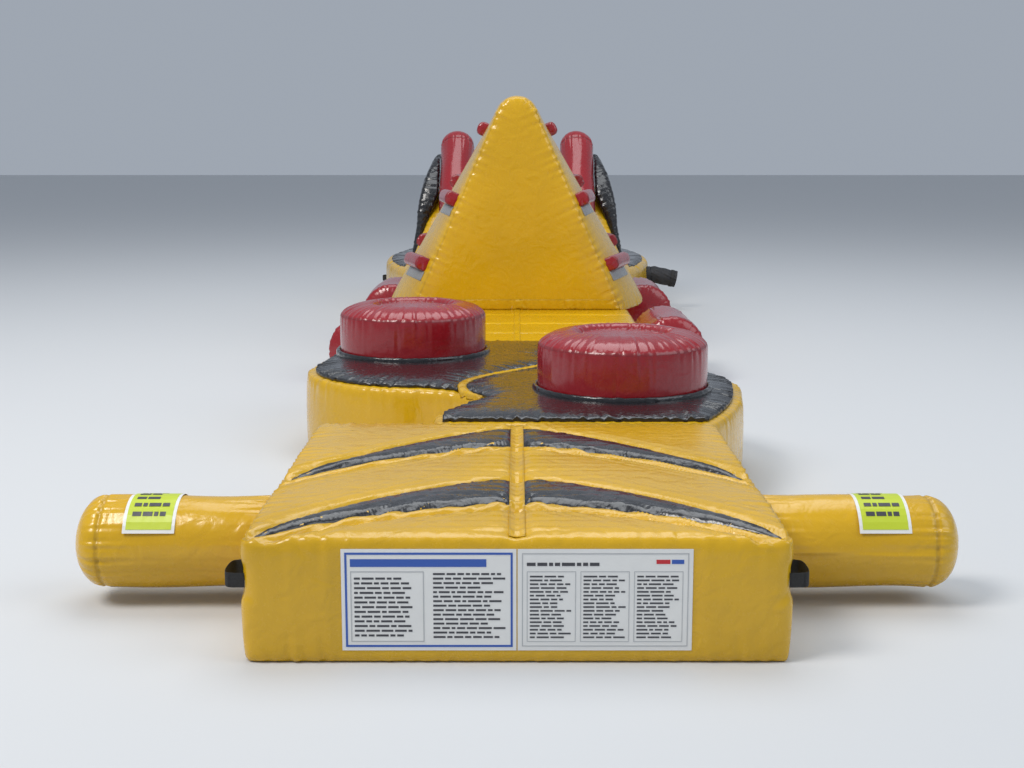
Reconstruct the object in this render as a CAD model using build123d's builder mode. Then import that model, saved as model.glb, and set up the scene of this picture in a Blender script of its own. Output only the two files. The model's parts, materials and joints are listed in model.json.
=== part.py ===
"""Inflatable pool obstacle course: entry mat, bollards, climbing fin and slide tower.

Millimetres. +Z is up and the course runs along +Y, from the entry mat to the slide. The
origin is the middle of the course on the floor. Every air chamber is a closed skin.
"""

import math
import os

from build123d import *

os.makedirs("parts", exist_ok=True)

# Driving dimensions: chambers
SKIN = 6.0  # wall of a chamber
JOIN_GAP = 0.3  # between soft pieces that lie against each other
PANEL_T = 3.0  # sheet welded on a chamber
WEB_T = 5.0  # internal web

# Entry mat
MAT_LENGTH = 1890.0
MAT_WIDTH = 1800.0
MAT_HEIGHT = 420.0
MAT_EDGE_R = 35.0
STRIP_WIDTH = 55.0
STRIPE_FRONT_DEPTH = 356.0  # at the centre strip
STRIPE_FRONT_START = 450.0
STRIPE_REAR_DEPTH = 346.0
STRIPE_REAR_START = 1422.0
STRIPE_SIDE_INSET = 30.0
STRIPE_BOW = 110.0
STRIPE_NEAR_BOW = 66.0
STRIPE_REAR_TIP_Y = 840.0
STRIPE_TIP_SHARE = 0.14  # depth at the outer tip, as a share of the depth at the strip
MAT_WEBS = 5

# Cards on the front panel
CARD_WIDTH = 572.0
CARD_HEIGHT = 345.0
CARD_GAP = 4.0
CARD_Z = 45.0

# Stabiliser tubes
TUBE_D = 340.0
TUBE_LIFT = 50.0  # above the floor
TUBE_REACH = 1640.0  # from the centreline to a tube's end
TUBE_Y = 690.0  # behind the front panel
TUBE_DOME = 110.0
TUBE_LABEL_WIDTH = 190.0
TUBE_LABEL_X = 1340.0
TUBE_LABEL_SWEEP = 120.0  # degrees

# Bollard platform, drawn about its own middle; its far half is its near half turned round
BASE_HEIGHT = 420.0
BASE_END_Y = 4505.0
NOTCH_X = 190.0  # tip of the waist, where the two halves meet
NOTCH_Y = 700.0
NECK_X = 387.0  # corner of the near half, beside the waist
NECK_Y = 1070.0
SHOULDER_X = 900.0  # front corner, behind the entry mat's corner
LOBE_X = 1160.0  # widest point
LOBE_Y = 400.0
LOBE_R = 640.0
LOBE_BOW = 25.0  # the shoulder's sweep, out from its chord
BASE_RIM = 45.0  # yellow rim around the black tops
DIVIDER_WIDTH = 45.0
DIVIDER_T = 20.0
TOP_T = 14.0  # black quilted top

# Drums
DRUM_D = 860.0
DRUM_HEIGHT = 330.0
DRUM_DISH_R = 215.0
DRUM_DISH = 18.0
DRUM_EDGE_R = 60.0
DRUM_NEAR_X = 533.0
DRUM_NEAR_Y = 2660.0
DRUM_FAR_X = -616.0
DRUM_FAR_Y = 3910.0
RING_WIDTH = 26.0
RING_HEIGHT = 52.0
RING_TAB_WIDTH = 16.0

# Base mat under the fin
COURSE_WIDTH = 1690.0
COURSE_HEIGHT = 425.0
COURSE_END_Y = 8450.0
COURSE_WEBS = 7

# Climbing fin
FIN_Y = 6210.0
FIN_LENGTH = 1600.0
FIN_HALF_WIDTH = 790.0
FIN_TOP = 2010.0
FIN_TOP_R = 150.0
FIN_BULGE = 200.0  # how far the flanks swell past the end panels
SKIRT_HEIGHT = 75.0
SKIRT_T = 3.0
SKIRT_LIFT = 16.0
STRAP_WIDTH = 42.0
STRAP_SPREAD = 485.0

# Hand-hold blocks: level above the floor at the fin's end, and length along the course
BLOCK_LENGTH = 430.0
BLOCK_WIDTH = 105.0
BLOCK_REACH = 105.0
BLOCK_END_GAP = 55.0
LOW_LEVEL = 760.0
MID_LEVEL = 1245.0
TOP_LEVEL = 1760.0
REAR_LIFT = 95.0
PATCH_WIDTH = 75.0

# Side buoys
BUOY_D = 480.0
BUOY_LENGTH = 800.0
BUOY_DOME = 70.0
BUOY_NEAR_Y = 5350.0
BUOY_FAR_Y = 7630.0

# Tower
TOWER_BASE_HEIGHT = 500.0
TOWER_BASE_HALF = 1340.0
TOWER_BASE_LENGTH = 3900.0
TOWER_EDGE_R = 50.0
TOWER_WEBS = 7
TOWER_Y = 9500.0
TOWER_DECK_Y = 10150.0
TOWER_DECK_LENGTH = 650.0
TOWER_DECK_HEIGHT = 1180.0
TOWER_FOOT_HALF = 1040.0
TOWER_TOP_HALF = 790.0
WALL_TOP = 1550.0
WALL_OUT = 985.0
WALL_SHOULDER = 1230.0
WALL_Y = 9900.0
WALL_LENGTH = 1500.0
WALL_NOSE_R = 600.0
RAIL_D = 330.0
RAIL_X = 610.0
RAIL_FOOT = 60.0  # from the foot of the climb to the rail's square end
RAIL_LENGTH = 1500.0
WALL_FOOT = 30.0  # thickness of a side wall where it meets the base
SLIDE_T = 60.0
SLIDE_LIP = 60.0  # height of the slide body's foot
SLIDE_HALF = 520.0
SLIDE_FOOT_Y = 12200.0

# Blower sleeve
SLEEVE_D = 170.0
SLEEVE_SKIN = 2.0
SLEEVE_LENGTH = 205.0
SLEEVE_Y = 9900.0
SLEEVE_Z = 355.0
SLEEVE_SEAT = 60.0  # from the collar's lip to the middle of the sleeve's round root
COLLAR_REACH = 35.0
SLEEVE_DROOP = 12.0  # degrees below level
TIE_WIDTH = 30.0
TIE_T = 3.0

# Webbing handles
WEBBING = 50.0
WEBBING_T = 3.0
HANDLE_LENGTH = 150.0
HANDLE_REACH = 65.0
HANDLE_PIVOT = 27.0  # stitch line, out from the chamber's side
HANDLE_Z = 280.0
HANDLE_Y = 90.0

# Deflation zips
ZIP_LENGTH = 420.0
ZIP_TAPE = 60.0
ZIP_T = 3.0
ZIP_TEETH = 9.0
SLIDER_LENGTH = 34.0
SLIDER_WIDTH = 18.0
ZIP_Z = 210.0
MAT_ZIP_Y = 1280.0
COURSE_ZIP_Y = 6700.0

# Worked-out places
TOWER_BASE_Y = COURSE_END_Y + JOIN_GAP
REAR_HANDLE_Y = TOWER_BASE_Y + TOWER_BASE_LENGTH / 2
LENGTH = PANEL_T + TOWER_BASE_Y + TOWER_BASE_LENGTH  # the cards stand proud in front
Y0 = PANEL_T - LENGTH / 2  # front panel


def along(y):
    """A distance behind the front panel as a Y coordinate."""
    return Y0 + y


def finish(builder, name):
    """Label one sub-part and write its STEP file."""
    builder.part.label = name
    export_step(builder.part, f"parts/{name}.step")


def group(solids, name):
    """Write like pieces as one sub-part of separate solids."""
    with BuildPart() as pieces:
        add(solids)
    finish(pieces, name)


SIDES = (("left", -1), ("right", 1))

# ---------------------------------------------------------------- entry mat
MAT_TOP = Plane.XY.offset(MAT_HEIGHT)
FRONT = Plane.XZ.offset(-Y0)  # faces -Y

with BuildPart() as entry_mat:
    with BuildSketch():
        with Locations((0, along(MAT_LENGTH / 2))):
            Rectangle(MAT_WIDTH, MAT_LENGTH)
    extrude(amount=MAT_HEIGHT)
    fillet(entry_mat.edges().filter_by(Axis.Z), MAT_EDGE_R)
    offset(amount=-SKIN, mode=Mode.SUBTRACT)
finish(entry_mat, "entry_mat")

stripe_reach = MAT_WIDTH / 2 - STRIPE_SIDE_INSET
for row, start, depth, tip_y in (
    ("front", STRIPE_FRONT_START, STRIPE_FRONT_DEPTH, MAT_EDGE_R),
    ("rear", STRIPE_REAR_START, STRIPE_REAR_DEPTH, STRIPE_REAR_TIP_Y),
):
    halves = []
    for _, sign in SIDES:
        inner = sign * (STRIP_WIDTH / 2 + JOIN_GAP)
        outer = sign * stripe_reach
        near = along(start)
        far = along(start + depth)
        # the outer end sweeps back towards the front edge of the mat
        tip_near = along(tip_y)
        tip_far = tip_near + STRIPE_TIP_SHARE * depth
        middle = (inner + outer) / 2
        with BuildPart() as stripe:
            with BuildSketch(MAT_TOP):
                with BuildLine():
                    Line((inner, near), (inner, far))
                    ThreePointArc(
                        (inner, far), (middle, (far + tip_far) / 2 + STRIPE_BOW), (outer, tip_far)
                    )
                    Line((outer, tip_far), (outer, tip_near))
                    ThreePointArc(
                        (outer, tip_near),
                        (middle, (near + tip_near) / 2 + STRIPE_NEAR_BOW),
                        (inner, near),
                    )
                make_face()
            extrude(amount=PANEL_T)
        halves.append(stripe.part)
    group(halves, f"mat_stripes_{row}")

with BuildPart() as mat_centre_strip:
    with BuildSketch(MAT_TOP):
        with Locations((0, along(MAT_LENGTH / 2))):
            Rectangle(STRIP_WIDTH, MAT_LENGTH - 2 * MAT_EDGE_R)
    extrude(amount=PANEL_T)
finish(mat_centre_strip, "mat_centre_strip")

with BuildPart() as care_cards:
    with BuildSketch(FRONT):
        with Locations((0, CARD_Z + CARD_HEIGHT / 2)):
            with GridLocations(CARD_WIDTH + CARD_GAP, 0, 2, 1):
                Rectangle(CARD_WIDTH, CARD_HEIGHT)
    extrude(amount=PANEL_T)
finish(care_cards, "care_cards")


def webs(name, cuts, height, floor=SKIN):
    """Upright internal webs: each cut is x middle, y middle, x size, y size."""
    with BuildPart() as group:
        with BuildSketch(Plane.XY.offset(floor)):
            for x, y, dx, dy in cuts:
                with Locations((x, along(y))):
                    Rectangle(dx, dy)
        extrude(amount=height - floor - SKIN)
    finish(group, name)


web_width = (MAT_WIDTH - STRIP_WIDTH) / 2 - 4 * SKIN
webs(
    "mat_webs",
    [
        (sign * (STRIP_WIDTH + web_width) / 2, MAT_LENGTH * i / (MAT_WEBS + 1), web_width, WEB_T)
        for i in range(1, MAT_WEBS + 1)
        for _, sign in SIDES
    ],
    MAT_HEIGHT,
)

# ---------------------------------------------------------------- stabiliser tubes
tube_start = MAT_WIDTH / 2 + JOIN_GAP
tube_r = TUBE_D / 2
tube_z = TUBE_LIFT + tube_r
tube_labels = []
for side, sign in SIDES:
    with BuildPart() as tube:
        with BuildSketch(Plane.XY.offset(tube_z)):
            with BuildLine():
                end_x = sign * TUBE_REACH
                dome_x = sign * (TUBE_REACH - TUBE_DOME)
                axis_y = along(TUBE_Y)
                Line((sign * tube_start, axis_y), (sign * tube_start, axis_y + tube_r))
                Line((sign * tube_start, axis_y + tube_r), (dome_x, axis_y + tube_r))
                Spline(
                    (dome_x, axis_y + tube_r),
                    (end_x, axis_y),
                    tangents=((sign, 0), (0, -1)),
                )
                Line((end_x, axis_y), (sign * tube_start, axis_y))
            make_face()
        revolve(axis=Axis((0, axis_y, tube_z), (1, 0, 0)))
        offset(amount=-SKIN, mode=Mode.SUBTRACT)
    finish(tube, f"stabiliser_{side}")

    label_r = tube_r + JOIN_GAP
    label_plane = Plane(
        origin=(sign * TUBE_LABEL_X - TUBE_LABEL_WIDTH / 2, axis_y, tube_z),
        x_dir=(0, 1, 0),
        z_dir=(1, 0, 0),
    )
    with BuildPart() as label:
        with BuildSketch(label_plane):
            with BuildLine():
                half = TUBE_LABEL_SWEEP / 2
                low = [(r * math.sin(math.radians(half)), r * math.cos(math.radians(half)))
                       for r in (label_r, label_r + PANEL_T)]
                ThreePointArc((-low[0][0], low[0][1]), (0, label_r), low[0])
                Line(low[0], low[1])
                ThreePointArc(low[1], (0, label_r + PANEL_T), (-low[1][0], low[1][1]))
                Line((-low[1][0], low[1][1]), (-low[0][0], low[0][1]))
            make_face()
        extrude(amount=TUBE_LABEL_WIDTH)
    tube_labels.append(label.part)
group(tube_labels, "stabiliser_labels")

# ---------------------------------------------------------------- bollard platform
BASE_FRONT_Y = MAT_LENGTH + JOIN_GAP
BASE_MIDDLE = along((BASE_FRONT_Y + BASE_END_Y) / 2)
BASE_HALF = (BASE_END_Y - BASE_FRONT_Y) / 2


def half_outline(turn):
    """One half of the S-shaped outline; turn is 1 for the near half and -1 for the far one."""

    def at(x, y):
        return (turn * x, BASE_MIDDLE + turn * y)

    lobe_x = LOBE_X - LOBE_R
    lobe_y = -LOBE_Y + LOBE_R / 4
    shoulder = ((SHOULDER_X + LOBE_X) / 2 + LOBE_BOW * 2, (-BASE_HALF - LOBE_Y) / 2)
    Polyline(
        at(-NOTCH_X, -NOTCH_Y), at(-NECK_X, -NECK_Y), at(-NECK_X, -BASE_HALF),
        at(SHOULDER_X, -BASE_HALF),
    )
    ThreePointArc(at(SHOULDER_X, -BASE_HALF), at(*shoulder), at(LOBE_X, -LOBE_Y))
    slant = LOBE_R * math.sqrt(0.5)
    ThreePointArc(
        at(LOBE_X, -LOBE_Y), at(lobe_x + slant, lobe_y + slant), at(lobe_x, lobe_y + LOBE_R)
    )
    ThreePointArc(
        at(lobe_x, lobe_y + LOBE_R),
        at((lobe_x + NOTCH_X) / 2 - LOBE_BOW, (lobe_y + LOBE_R + NOTCH_Y) / 2 - 2 * LOBE_BOW),
        at(NOTCH_X, NOTCH_Y),
    )


with BuildSketch() as base_outline:
    with BuildLine():
        half_outline(1)
        half_outline(-1)
    make_face()

with BuildPart() as base_form:
    add(base_outline.sketch)
    extrude(amount=BASE_HEIGHT)

with BuildPart() as bollard_base:
    add(base_form.part)
    offset(amount=-SKIN, mode=Mode.SUBTRACT)
finish(bollard_base, "bollard_base")

with BuildLine() as divider_path:
    Spline(
        (-NOTCH_X, BASE_MIDDLE - NOTCH_Y),
        (-NOTCH_X, BASE_MIDDLE - NOTCH_Y / 5),
        (NOTCH_X, BASE_MIDDLE + NOTCH_Y / 2),
        (NOTCH_X, BASE_MIDDLE + NOTCH_Y),
    )

with BuildSketch() as divider_band:
    trace(divider_path.line, DIVIDER_WIDTH)

with BuildSketch() as black_tops:
    add(base_outline.sketch)
    offset(amount=-BASE_RIM, mode=Mode.REPLACE)
    trace(divider_path.line, DIVIDER_WIDTH + 2 * JOIN_GAP, mode=Mode.SUBTRACT)

with BuildPart() as base_divider:
    with BuildSketch(Plane.XY.offset(BASE_HEIGHT)):
        add(divider_band.sketch)
        add(base_outline.sketch, mode=Mode.INTERSECT)
    extrude(amount=DIVIDER_T)
finish(base_divider, "base_divider")

for name, face in zip(("near", "far"), black_tops.faces().sort_by(Axis.Y)):
    with BuildPart() as top:
        with BuildSketch(Plane.XY.offset(BASE_HEIGHT)):
            add(face)
        extrude(amount=TOP_T)
    finish(top, f"bollard_top_{name}")

webs(
    "bollard_webs",
    [
        (turn * (LOBE_X - LOBE_R), BASE_FRONT_Y + BASE_HALF - turn * offset_y, 2 * reach, WEB_T)
        for turn in (1, -1)
        for offset_y, reach in ((LOBE_Y + 300, LOBE_R - 110), (LOBE_Y - 350, LOBE_R - 200))
    ],
    BASE_HEIGHT,
)

# ---------------------------------------------------------------- drums
DRUM_FOOT = BASE_HEIGHT + TOP_T
drum_r = DRUM_D / 2
for name, x, y in (
    ("near", DRUM_NEAR_X, DRUM_NEAR_Y),
    ("far", DRUM_FAR_X, DRUM_FAR_Y),
):
    centre = Plane(origin=(x, along(y), DRUM_FOOT + JOIN_GAP), x_dir=(1, 0, 0), z_dir=(0, -1, 0))
    upright = Axis(centre.origin, (0, 0, 1))
    with BuildPart() as drum:
        with BuildSketch(centre):
            with BuildLine():
                Polyline(
                    (0, DRUM_HEIGHT - DRUM_DISH), (0, 0), (drum_r, 0),
                    (drum_r, DRUM_HEIGHT - DRUM_EDGE_R),
                )
                ThreePointArc(
                    (drum_r, DRUM_HEIGHT - DRUM_EDGE_R),
                    (drum_r - DRUM_EDGE_R * 0.4, DRUM_HEIGHT - DRUM_EDGE_R * 0.25),
                    (drum_r - DRUM_EDGE_R * 1.3, DRUM_HEIGHT),
                )
                Line((drum_r - DRUM_EDGE_R * 1.3, DRUM_HEIGHT), (DRUM_DISH_R, DRUM_HEIGHT))
                Line((DRUM_DISH_R, DRUM_HEIGHT), (0, DRUM_HEIGHT - DRUM_DISH))
            make_face()
        revolve(axis=upright)
        offset(amount=-SKIN, mode=Mode.SUBTRACT)
    finish(drum, f"drum_{name}")

    with BuildPart() as ring:
        with BuildSketch(Plane.XY.offset(DRUM_FOOT)):
            with Locations((x, along(y))):
                Circle(drum_r + JOIN_GAP + RING_WIDTH)
                Circle(drum_r + JOIN_GAP, mode=Mode.SUBTRACT)
        extrude(amount=RING_HEIGHT)
        fillet(ring.edges().group_by(Axis.Z)[-1].sort_by(SortBy.LENGTH)[-1], RING_WIDTH * 0.6)
    finish(ring, f"drum_ring_{name}")

with BuildPart() as ring_join_tabs:
    for x, y in ((DRUM_NEAR_X, DRUM_NEAR_Y), (DRUM_FAR_X, DRUM_FAR_Y)):
        face_y = along(y) - (drum_r + RING_WIDTH + JOIN_GAP)
        with BuildSketch(Plane.XZ.offset(-face_y)):
            with Locations((x - 90 * 0, DRUM_FOOT + RING_HEIGHT * 0.3)):
                Rectangle(RING_TAB_WIDTH, RING_HEIGHT * 0.6)
        extrude(amount=PANEL_T)
finish(ring_join_tabs, "ring_join_tabs")

# ---------------------------------------------------------------- base mat under the fin
COURSE_Y = BASE_END_Y + JOIN_GAP
course_length = COURSE_END_Y - COURSE_Y
with BuildPart() as course_base:
    with BuildSketch():
        with Locations((0, along(COURSE_Y + course_length / 2))):
            Rectangle(COURSE_WIDTH, course_length)
    extrude(amount=COURSE_HEIGHT)
    fillet(course_base.edges().filter_by(Axis.Y), MAT_EDGE_R)
    offset(amount=-SKIN, mode=Mode.SUBTRACT)
finish(course_base, "course_base")

webs(
    "course_webs",
    [
        (0, COURSE_Y + course_length * i / (COURSE_WEBS + 1), COURSE_WIDTH - 2 * MAT_EDGE_R, WEB_T)
        for i in range(1, COURSE_WEBS + 1)
    ],
    COURSE_HEIGHT,
)

with BuildPart() as course_centre_strip:
    with BuildSketch(Plane.XY.offset(COURSE_HEIGHT)):
        with Locations((0, along((COURSE_Y + FIN_Y) / 2))):
            Rectangle(STRAP_WIDTH, FIN_Y - COURSE_Y - SKIRT_T * 3)
    extrude(amount=PANEL_T)
finish(course_centre_strip, "course_centre_strip")

# ---------------------------------------------------------------- climbing fin
FIN_FOOT = COURSE_HEIGHT + JOIN_GAP
FIN_STATIONS = (0, 1 / 3, 2 / 3, 1)
FIN_CORNER = 2.2  # the flank's wall is cut this much thicker across, because it slopes


def swell(t):
    """How far the foot of a flank stands out, at a share of the fin's length."""
    return 4.5 * FIN_BULGE * t * (1 - t)


def fin_section(plane, half_width, foot, top):
    """A flank, the rounded ridge and the other flank, closed along the foot."""
    angle = math.atan2(top - foot - FIN_TOP_R, half_width)
    ridge_x = FIN_TOP_R * math.sin(angle)
    ridge_z = top - FIN_TOP_R + FIN_TOP_R * math.cos(angle)
    with BuildSketch(plane) as section:
        with BuildLine():
            Polyline((-ridge_x, ridge_z), (-half_width, foot), (half_width, foot), (ridge_x, ridge_z))
            ThreePointArc((ridge_x, ridge_z), (0, top), (-ridge_x, ridge_z))
        make_face()
    return section.sketch


def fin_shape(grown, inset=0.0):
    """The fin as one solid: its flanks and ridge moved out by grown, its ends and foot moved in."""
    with BuildPart() as shape:
        for t in FIN_STATIONS:
            y = FIN_Y + inset + t * (FIN_LENGTH - 2 * inset)
            station = Plane.XZ.offset(-along(y))
            half_width = FIN_HALF_WIDTH + swell(t) + grown
            add(fin_section(station, half_width, FIN_FOOT + inset, FIN_TOP + grown))
        loft()
    return shape.part


fin_form = fin_shape(0)

with BuildPart() as fin:
    add(fin_form)
    add(fin_shape(-FIN_CORNER * SKIN, SKIN), mode=Mode.SUBTRACT)
finish(fin, "fin")

fin_web_pieces = []
for t in FIN_STATIONS[1:-1]:
    station = Plane.XZ.offset(-along(FIN_Y + t * FIN_LENGTH) - WEB_T / 2)
    half_width = FIN_HALF_WIDTH + swell(t) - 5 * SKIN
    with BuildPart() as web:
        add(fin_section(station, half_width, FIN_FOOT + SKIN, FIN_TOP - 3 * SKIN))
        extrude(amount=WEB_T, dir=(0, 1, 0))
    fin_web_pieces.append(web.part)
group(fin_web_pieces, "fin_webs")

slope = (FIN_HALF_WIDTH - FIN_TOP_R) / (FIN_TOP - FIN_FOOT - FIN_TOP_R)
with BuildPart() as fin_skirt:
    for y, out in ((along(FIN_Y) - JOIN_GAP, 1), (along(FIN_Y + FIN_LENGTH) + JOIN_GAP, -1)):
        with BuildSketch(Plane.XZ.offset(-y)):
            low = COURSE_HEIGHT + SKIRT_LIFT
            high = low + SKIRT_HEIGHT
            low_x = FIN_HALF_WIDTH - slope * SKIRT_LIFT
            high_x = low_x - slope * SKIRT_HEIGHT
            with BuildLine():
                Polyline((-low_x, low), (low_x, low), (high_x, high), (-high_x, high), close=True)
            make_face()
        extrude(amount=out * SKIRT_T)
finish(fin_skirt, "fin_skirt")

with BuildPart() as hem_straps:
    for y, out in (
        (along(FIN_Y) - JOIN_GAP - SKIRT_T, 1),
        (along(FIN_Y + FIN_LENGTH) + JOIN_GAP + SKIRT_T, -1),
    ):
        for x in (-STRAP_SPREAD, 0, STRAP_SPREAD):
            foot = COURSE_HEIGHT + (PANEL_T if x == 0 and out == 1 else 0) + JOIN_GAP
            with BuildSketch(Plane.XZ.offset(-y)):
                with Locations((x, (foot + COURSE_HEIGHT + SKIRT_HEIGHT) / 2)):
                    Rectangle(STRAP_WIDTH, COURSE_HEIGHT + SKIRT_HEIGHT - foot)
            extrude(amount=out * PANEL_T)
finish(hem_straps, "hem_straps")

# Hand-hold blocks: each is drawn on the flank at its two ends and fitted to the fin's skin
block_angle = math.atan(slope)


def flank_x(y, z):
    """The flank's X at a distance along the fin and a height."""
    foot_x = FIN_HALF_WIDTH + swell(y / FIN_LENGTH)
    return foot_x - (foot_x - FIN_TOP_R) * (z - FIN_FOOT) / (FIN_TOP - FIN_FOOT - FIN_TOP_R)


def flank_plane(y, z):
    """A plane across the course, its x pointing out of the right flank."""
    return Plane(
        origin=(flank_x(y, z), along(FIN_Y + y), z),
        x_dir=(math.cos(block_angle), 0, math.sin(block_angle)),
        z_dir=(0, 1, 0),
    )


rear_start = FIN_LENGTH - BLOCK_END_GAP - BLOCK_LENGTH
blocks = (
    ("low_front", BLOCK_END_GAP, LOW_LEVEL),
    ("low_rear", rear_start, LOW_LEVEL + REAR_LIFT),
    ("mid_front", BLOCK_END_GAP, MID_LEVEL),
    ("mid_rear", rear_start, MID_LEVEL + REAR_LIFT),
    ("top", (FIN_LENGTH - BLOCK_LENGTH) / 2, TOP_LEVEL),
)
right_blocks = {}
for name, start, level in blocks:
    with BuildPart() as block:
        for y in (start, start + BLOCK_LENGTH):
            with BuildSketch(flank_plane(y, level)) as end:
                Rectangle(2 * BLOCK_REACH, BLOCK_WIDTH)
                fillet(end.vertices().group_by(Axis.X)[-1], BLOCK_WIDTH * 0.38)
        loft()
        add(fin_form, mode=Mode.SUBTRACT)
    right_blocks.setdefault(name.split("_")[0], []).append(block.part)
for level_name, pieces in right_blocks.items():
    group(pieces, f"blocks_{level_name}_right")
    group([piece.mirror(Plane.YZ) for piece in pieces], f"blocks_{level_name}_left")

patches = []
for name, start, level in blocks[:-1]:
    with BuildPart() as patch:
        for y in (start, start + BLOCK_LENGTH):
            with BuildSketch(flank_plane(y, level)):
                with Locations((0, BLOCK_WIDTH / 2 + JOIN_GAP + PATCH_WIDTH / 2)):
                    Rectangle(2 * BLOCK_REACH, PATCH_WIDTH)
        loft()
        add(fin_shape(PANEL_T), mode=Mode.INTERSECT)
        add(fin_form, mode=Mode.SUBTRACT)
    patches.append(patch.part)

with BuildPart() as grip_patches:
    add(patches)
    mirror(about=Plane.YZ)
finish(grip_patches, "grip_patches")

# ---------------------------------------------------------------- side buoys
buoy_r = BUOY_D / 2
buoy_x = COURSE_WIDTH / 2 + JOIN_GAP + buoy_r
for place, start in (("front", BUOY_NEAR_Y), ("rear", BUOY_FAR_Y)):
    for side, sign in SIDES:
        with BuildPart() as buoy:
            with BuildSketch(Plane.XY.offset(buoy_r)):
                with BuildLine():
                    x = sign * buoy_x
                    rim = x + sign * buoy_r
                    y1, y2 = along(start), along(start + BUOY_LENGTH)
                    Line((x, y1), (x, y2))
                    Spline((x, y2), (rim, y2 - BUOY_DOME), tangents=((sign, 0), (0, -1)))
                    Line((rim, y2 - BUOY_DOME), (rim, y1 + BUOY_DOME))
                    Spline((rim, y1 + BUOY_DOME), (x, y1), tangents=((0, -1), (-sign, 0)))
                make_face()
            revolve(axis=Axis((x, y1, buoy_r), (0, 1, 0)))
            offset(amount=-SKIN, mode=Mode.SUBTRACT)
        finish(buoy, f"buoy_{place}_{side}")

# ---------------------------------------------------------------- tower
tower_middle = along(TOWER_BASE_Y + TOWER_BASE_LENGTH / 2)
tower_end = along(TOWER_BASE_Y + TOWER_BASE_LENGTH)
FRONT_HALF = COURSE_WIDTH / 2  # the base starts as wide as the course and widens
with BuildSketch() as tower_outline:
    with BuildLine():
        for turn in (1, -1):
            Line((0, along(TOWER_BASE_Y)), (turn * FRONT_HALF, along(TOWER_BASE_Y)))
            ThreePointArc(
                (turn * FRONT_HALF, along(TOWER_BASE_Y)),
                (turn * TOWER_BASE_HALF, tower_middle),
                (turn * FRONT_HALF, tower_end),
            )
            Line((turn * FRONT_HALF, tower_end), (0, tower_end))
    make_face()

with BuildPart() as tower_base:
    add(tower_outline.sketch)
    extrude(amount=TOWER_BASE_HEIGHT)
    fillet(tower_base.edges().group_by(Axis.Z)[-1], TOWER_EDGE_R)
    offset(amount=-SKIN, mode=Mode.SUBTRACT)
finish(tower_base, "tower_base")

DECK_BACK_Y = TOWER_DECK_Y + TOWER_DECK_LENGTH
TOWER_FOOT = TOWER_BASE_HEIGHT + JOIN_GAP
with BuildSketch(Plane.YZ) as tower_side_view:
    with BuildLine():
        Polyline(
            (along(TOWER_Y), TOWER_FOOT),
            (along(TOWER_DECK_Y), TOWER_DECK_HEIGHT),
            (along(DECK_BACK_Y), TOWER_DECK_HEIGHT),
            (along(SLIDE_FOOT_Y), TOWER_FOOT + SLIDE_LIP),
            (along(SLIDE_FOOT_Y), TOWER_FOOT),
            close=True,
        )
    make_face()

with BuildSketch(Plane.XZ.offset(-along(TOWER_BASE_Y))) as tower_end_view:
    with BuildLine():
        Polyline(
            (-TOWER_FOOT_HALF, TOWER_FOOT), (TOWER_FOOT_HALF, TOWER_FOOT),
            (TOWER_TOP_HALF, TOWER_DECK_HEIGHT), (-TOWER_TOP_HALF, TOWER_DECK_HEIGHT),
            close=True,
        )
    make_face()


def crossed(end_view, side_view, front_y, length, inset):
    """The solid where an end view and a side view cross, with every face moved in by inset."""
    with BuildPart() as shape:
        with BuildSketch(Plane.XZ.offset(-along(front_y) - inset)):
            add(end_view.sketch_local)
            offset(amount=-inset, mode=Mode.REPLACE)
        extrude(amount=-(length - 2 * inset))
        with BuildSketch(Plane.YZ.offset(-TOWER_BASE_HALF)):
            add(side_view.sketch_local)
            offset(amount=-inset, mode=Mode.REPLACE)
        extrude(amount=2 * TOWER_BASE_HALF, mode=Mode.INTERSECT)
    return shape.part


with BuildPart() as tower_body:
    tower_views = (tower_end_view, tower_side_view, TOWER_Y, SLIDE_FOOT_Y - TOWER_Y)
    add(crossed(*tower_views, 0))
    add(crossed(*tower_views, SKIN), mode=Mode.SUBTRACT)
finish(tower_body, "tower_body")

# Black side walls: an arch seen from the side, leaning out towards the foot
with BuildSketch(Plane.XZ.offset(-along(WALL_Y))) as wall_end_view:
    with BuildLine():
        gap = JOIN_GAP * 2
        foot_x = TOWER_FOOT_HALF + gap
        top_x = TOWER_TOP_HALF + gap
        crest_x = (top_x + WALL_OUT) / 2 - 80
        crest_z = WALL_TOP + 30  # past the side view's arch, which cuts it flat
        Polyline(
            (crest_x, crest_z), (top_x, crest_z), (top_x, TOWER_DECK_HEIGHT),
            (foot_x, TOWER_FOOT), (foot_x + WALL_FOOT, TOWER_FOOT), (WALL_OUT + 20, TOWER_FOOT + 350),
        )
        ThreePointArc(
            (WALL_OUT + 20, TOWER_FOOT + 350), (WALL_OUT - 35, WALL_SHOULDER), (crest_x, crest_z)
        )
    make_face()

with BuildSketch(Plane.YZ) as wall_side_view:
    with BuildLine():
        y1, y2 = along(WALL_Y), along(WALL_Y + WALL_LENGTH)
        nose_z = WALL_TOP - WALL_NOSE_R
        Polyline((y1, nose_z), (y1, TOWER_FOOT), (y2, TOWER_FOOT), (y2, nose_z))
        nose = WALL_NOSE_R * (1 - math.sqrt(0.5))
        ThreePointArc(
            (y1, WALL_TOP - WALL_NOSE_R), (y1 + nose, WALL_TOP - nose), (y1 + WALL_NOSE_R, WALL_TOP)
        )
        Line((y1 + WALL_NOSE_R, WALL_TOP), (y2 - WALL_NOSE_R, WALL_TOP))
        ThreePointArc(
            (y2 - WALL_NOSE_R, WALL_TOP), (y2 - nose, WALL_TOP - nose), (y2, WALL_TOP - WALL_NOSE_R)
        )
    make_face()

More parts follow.
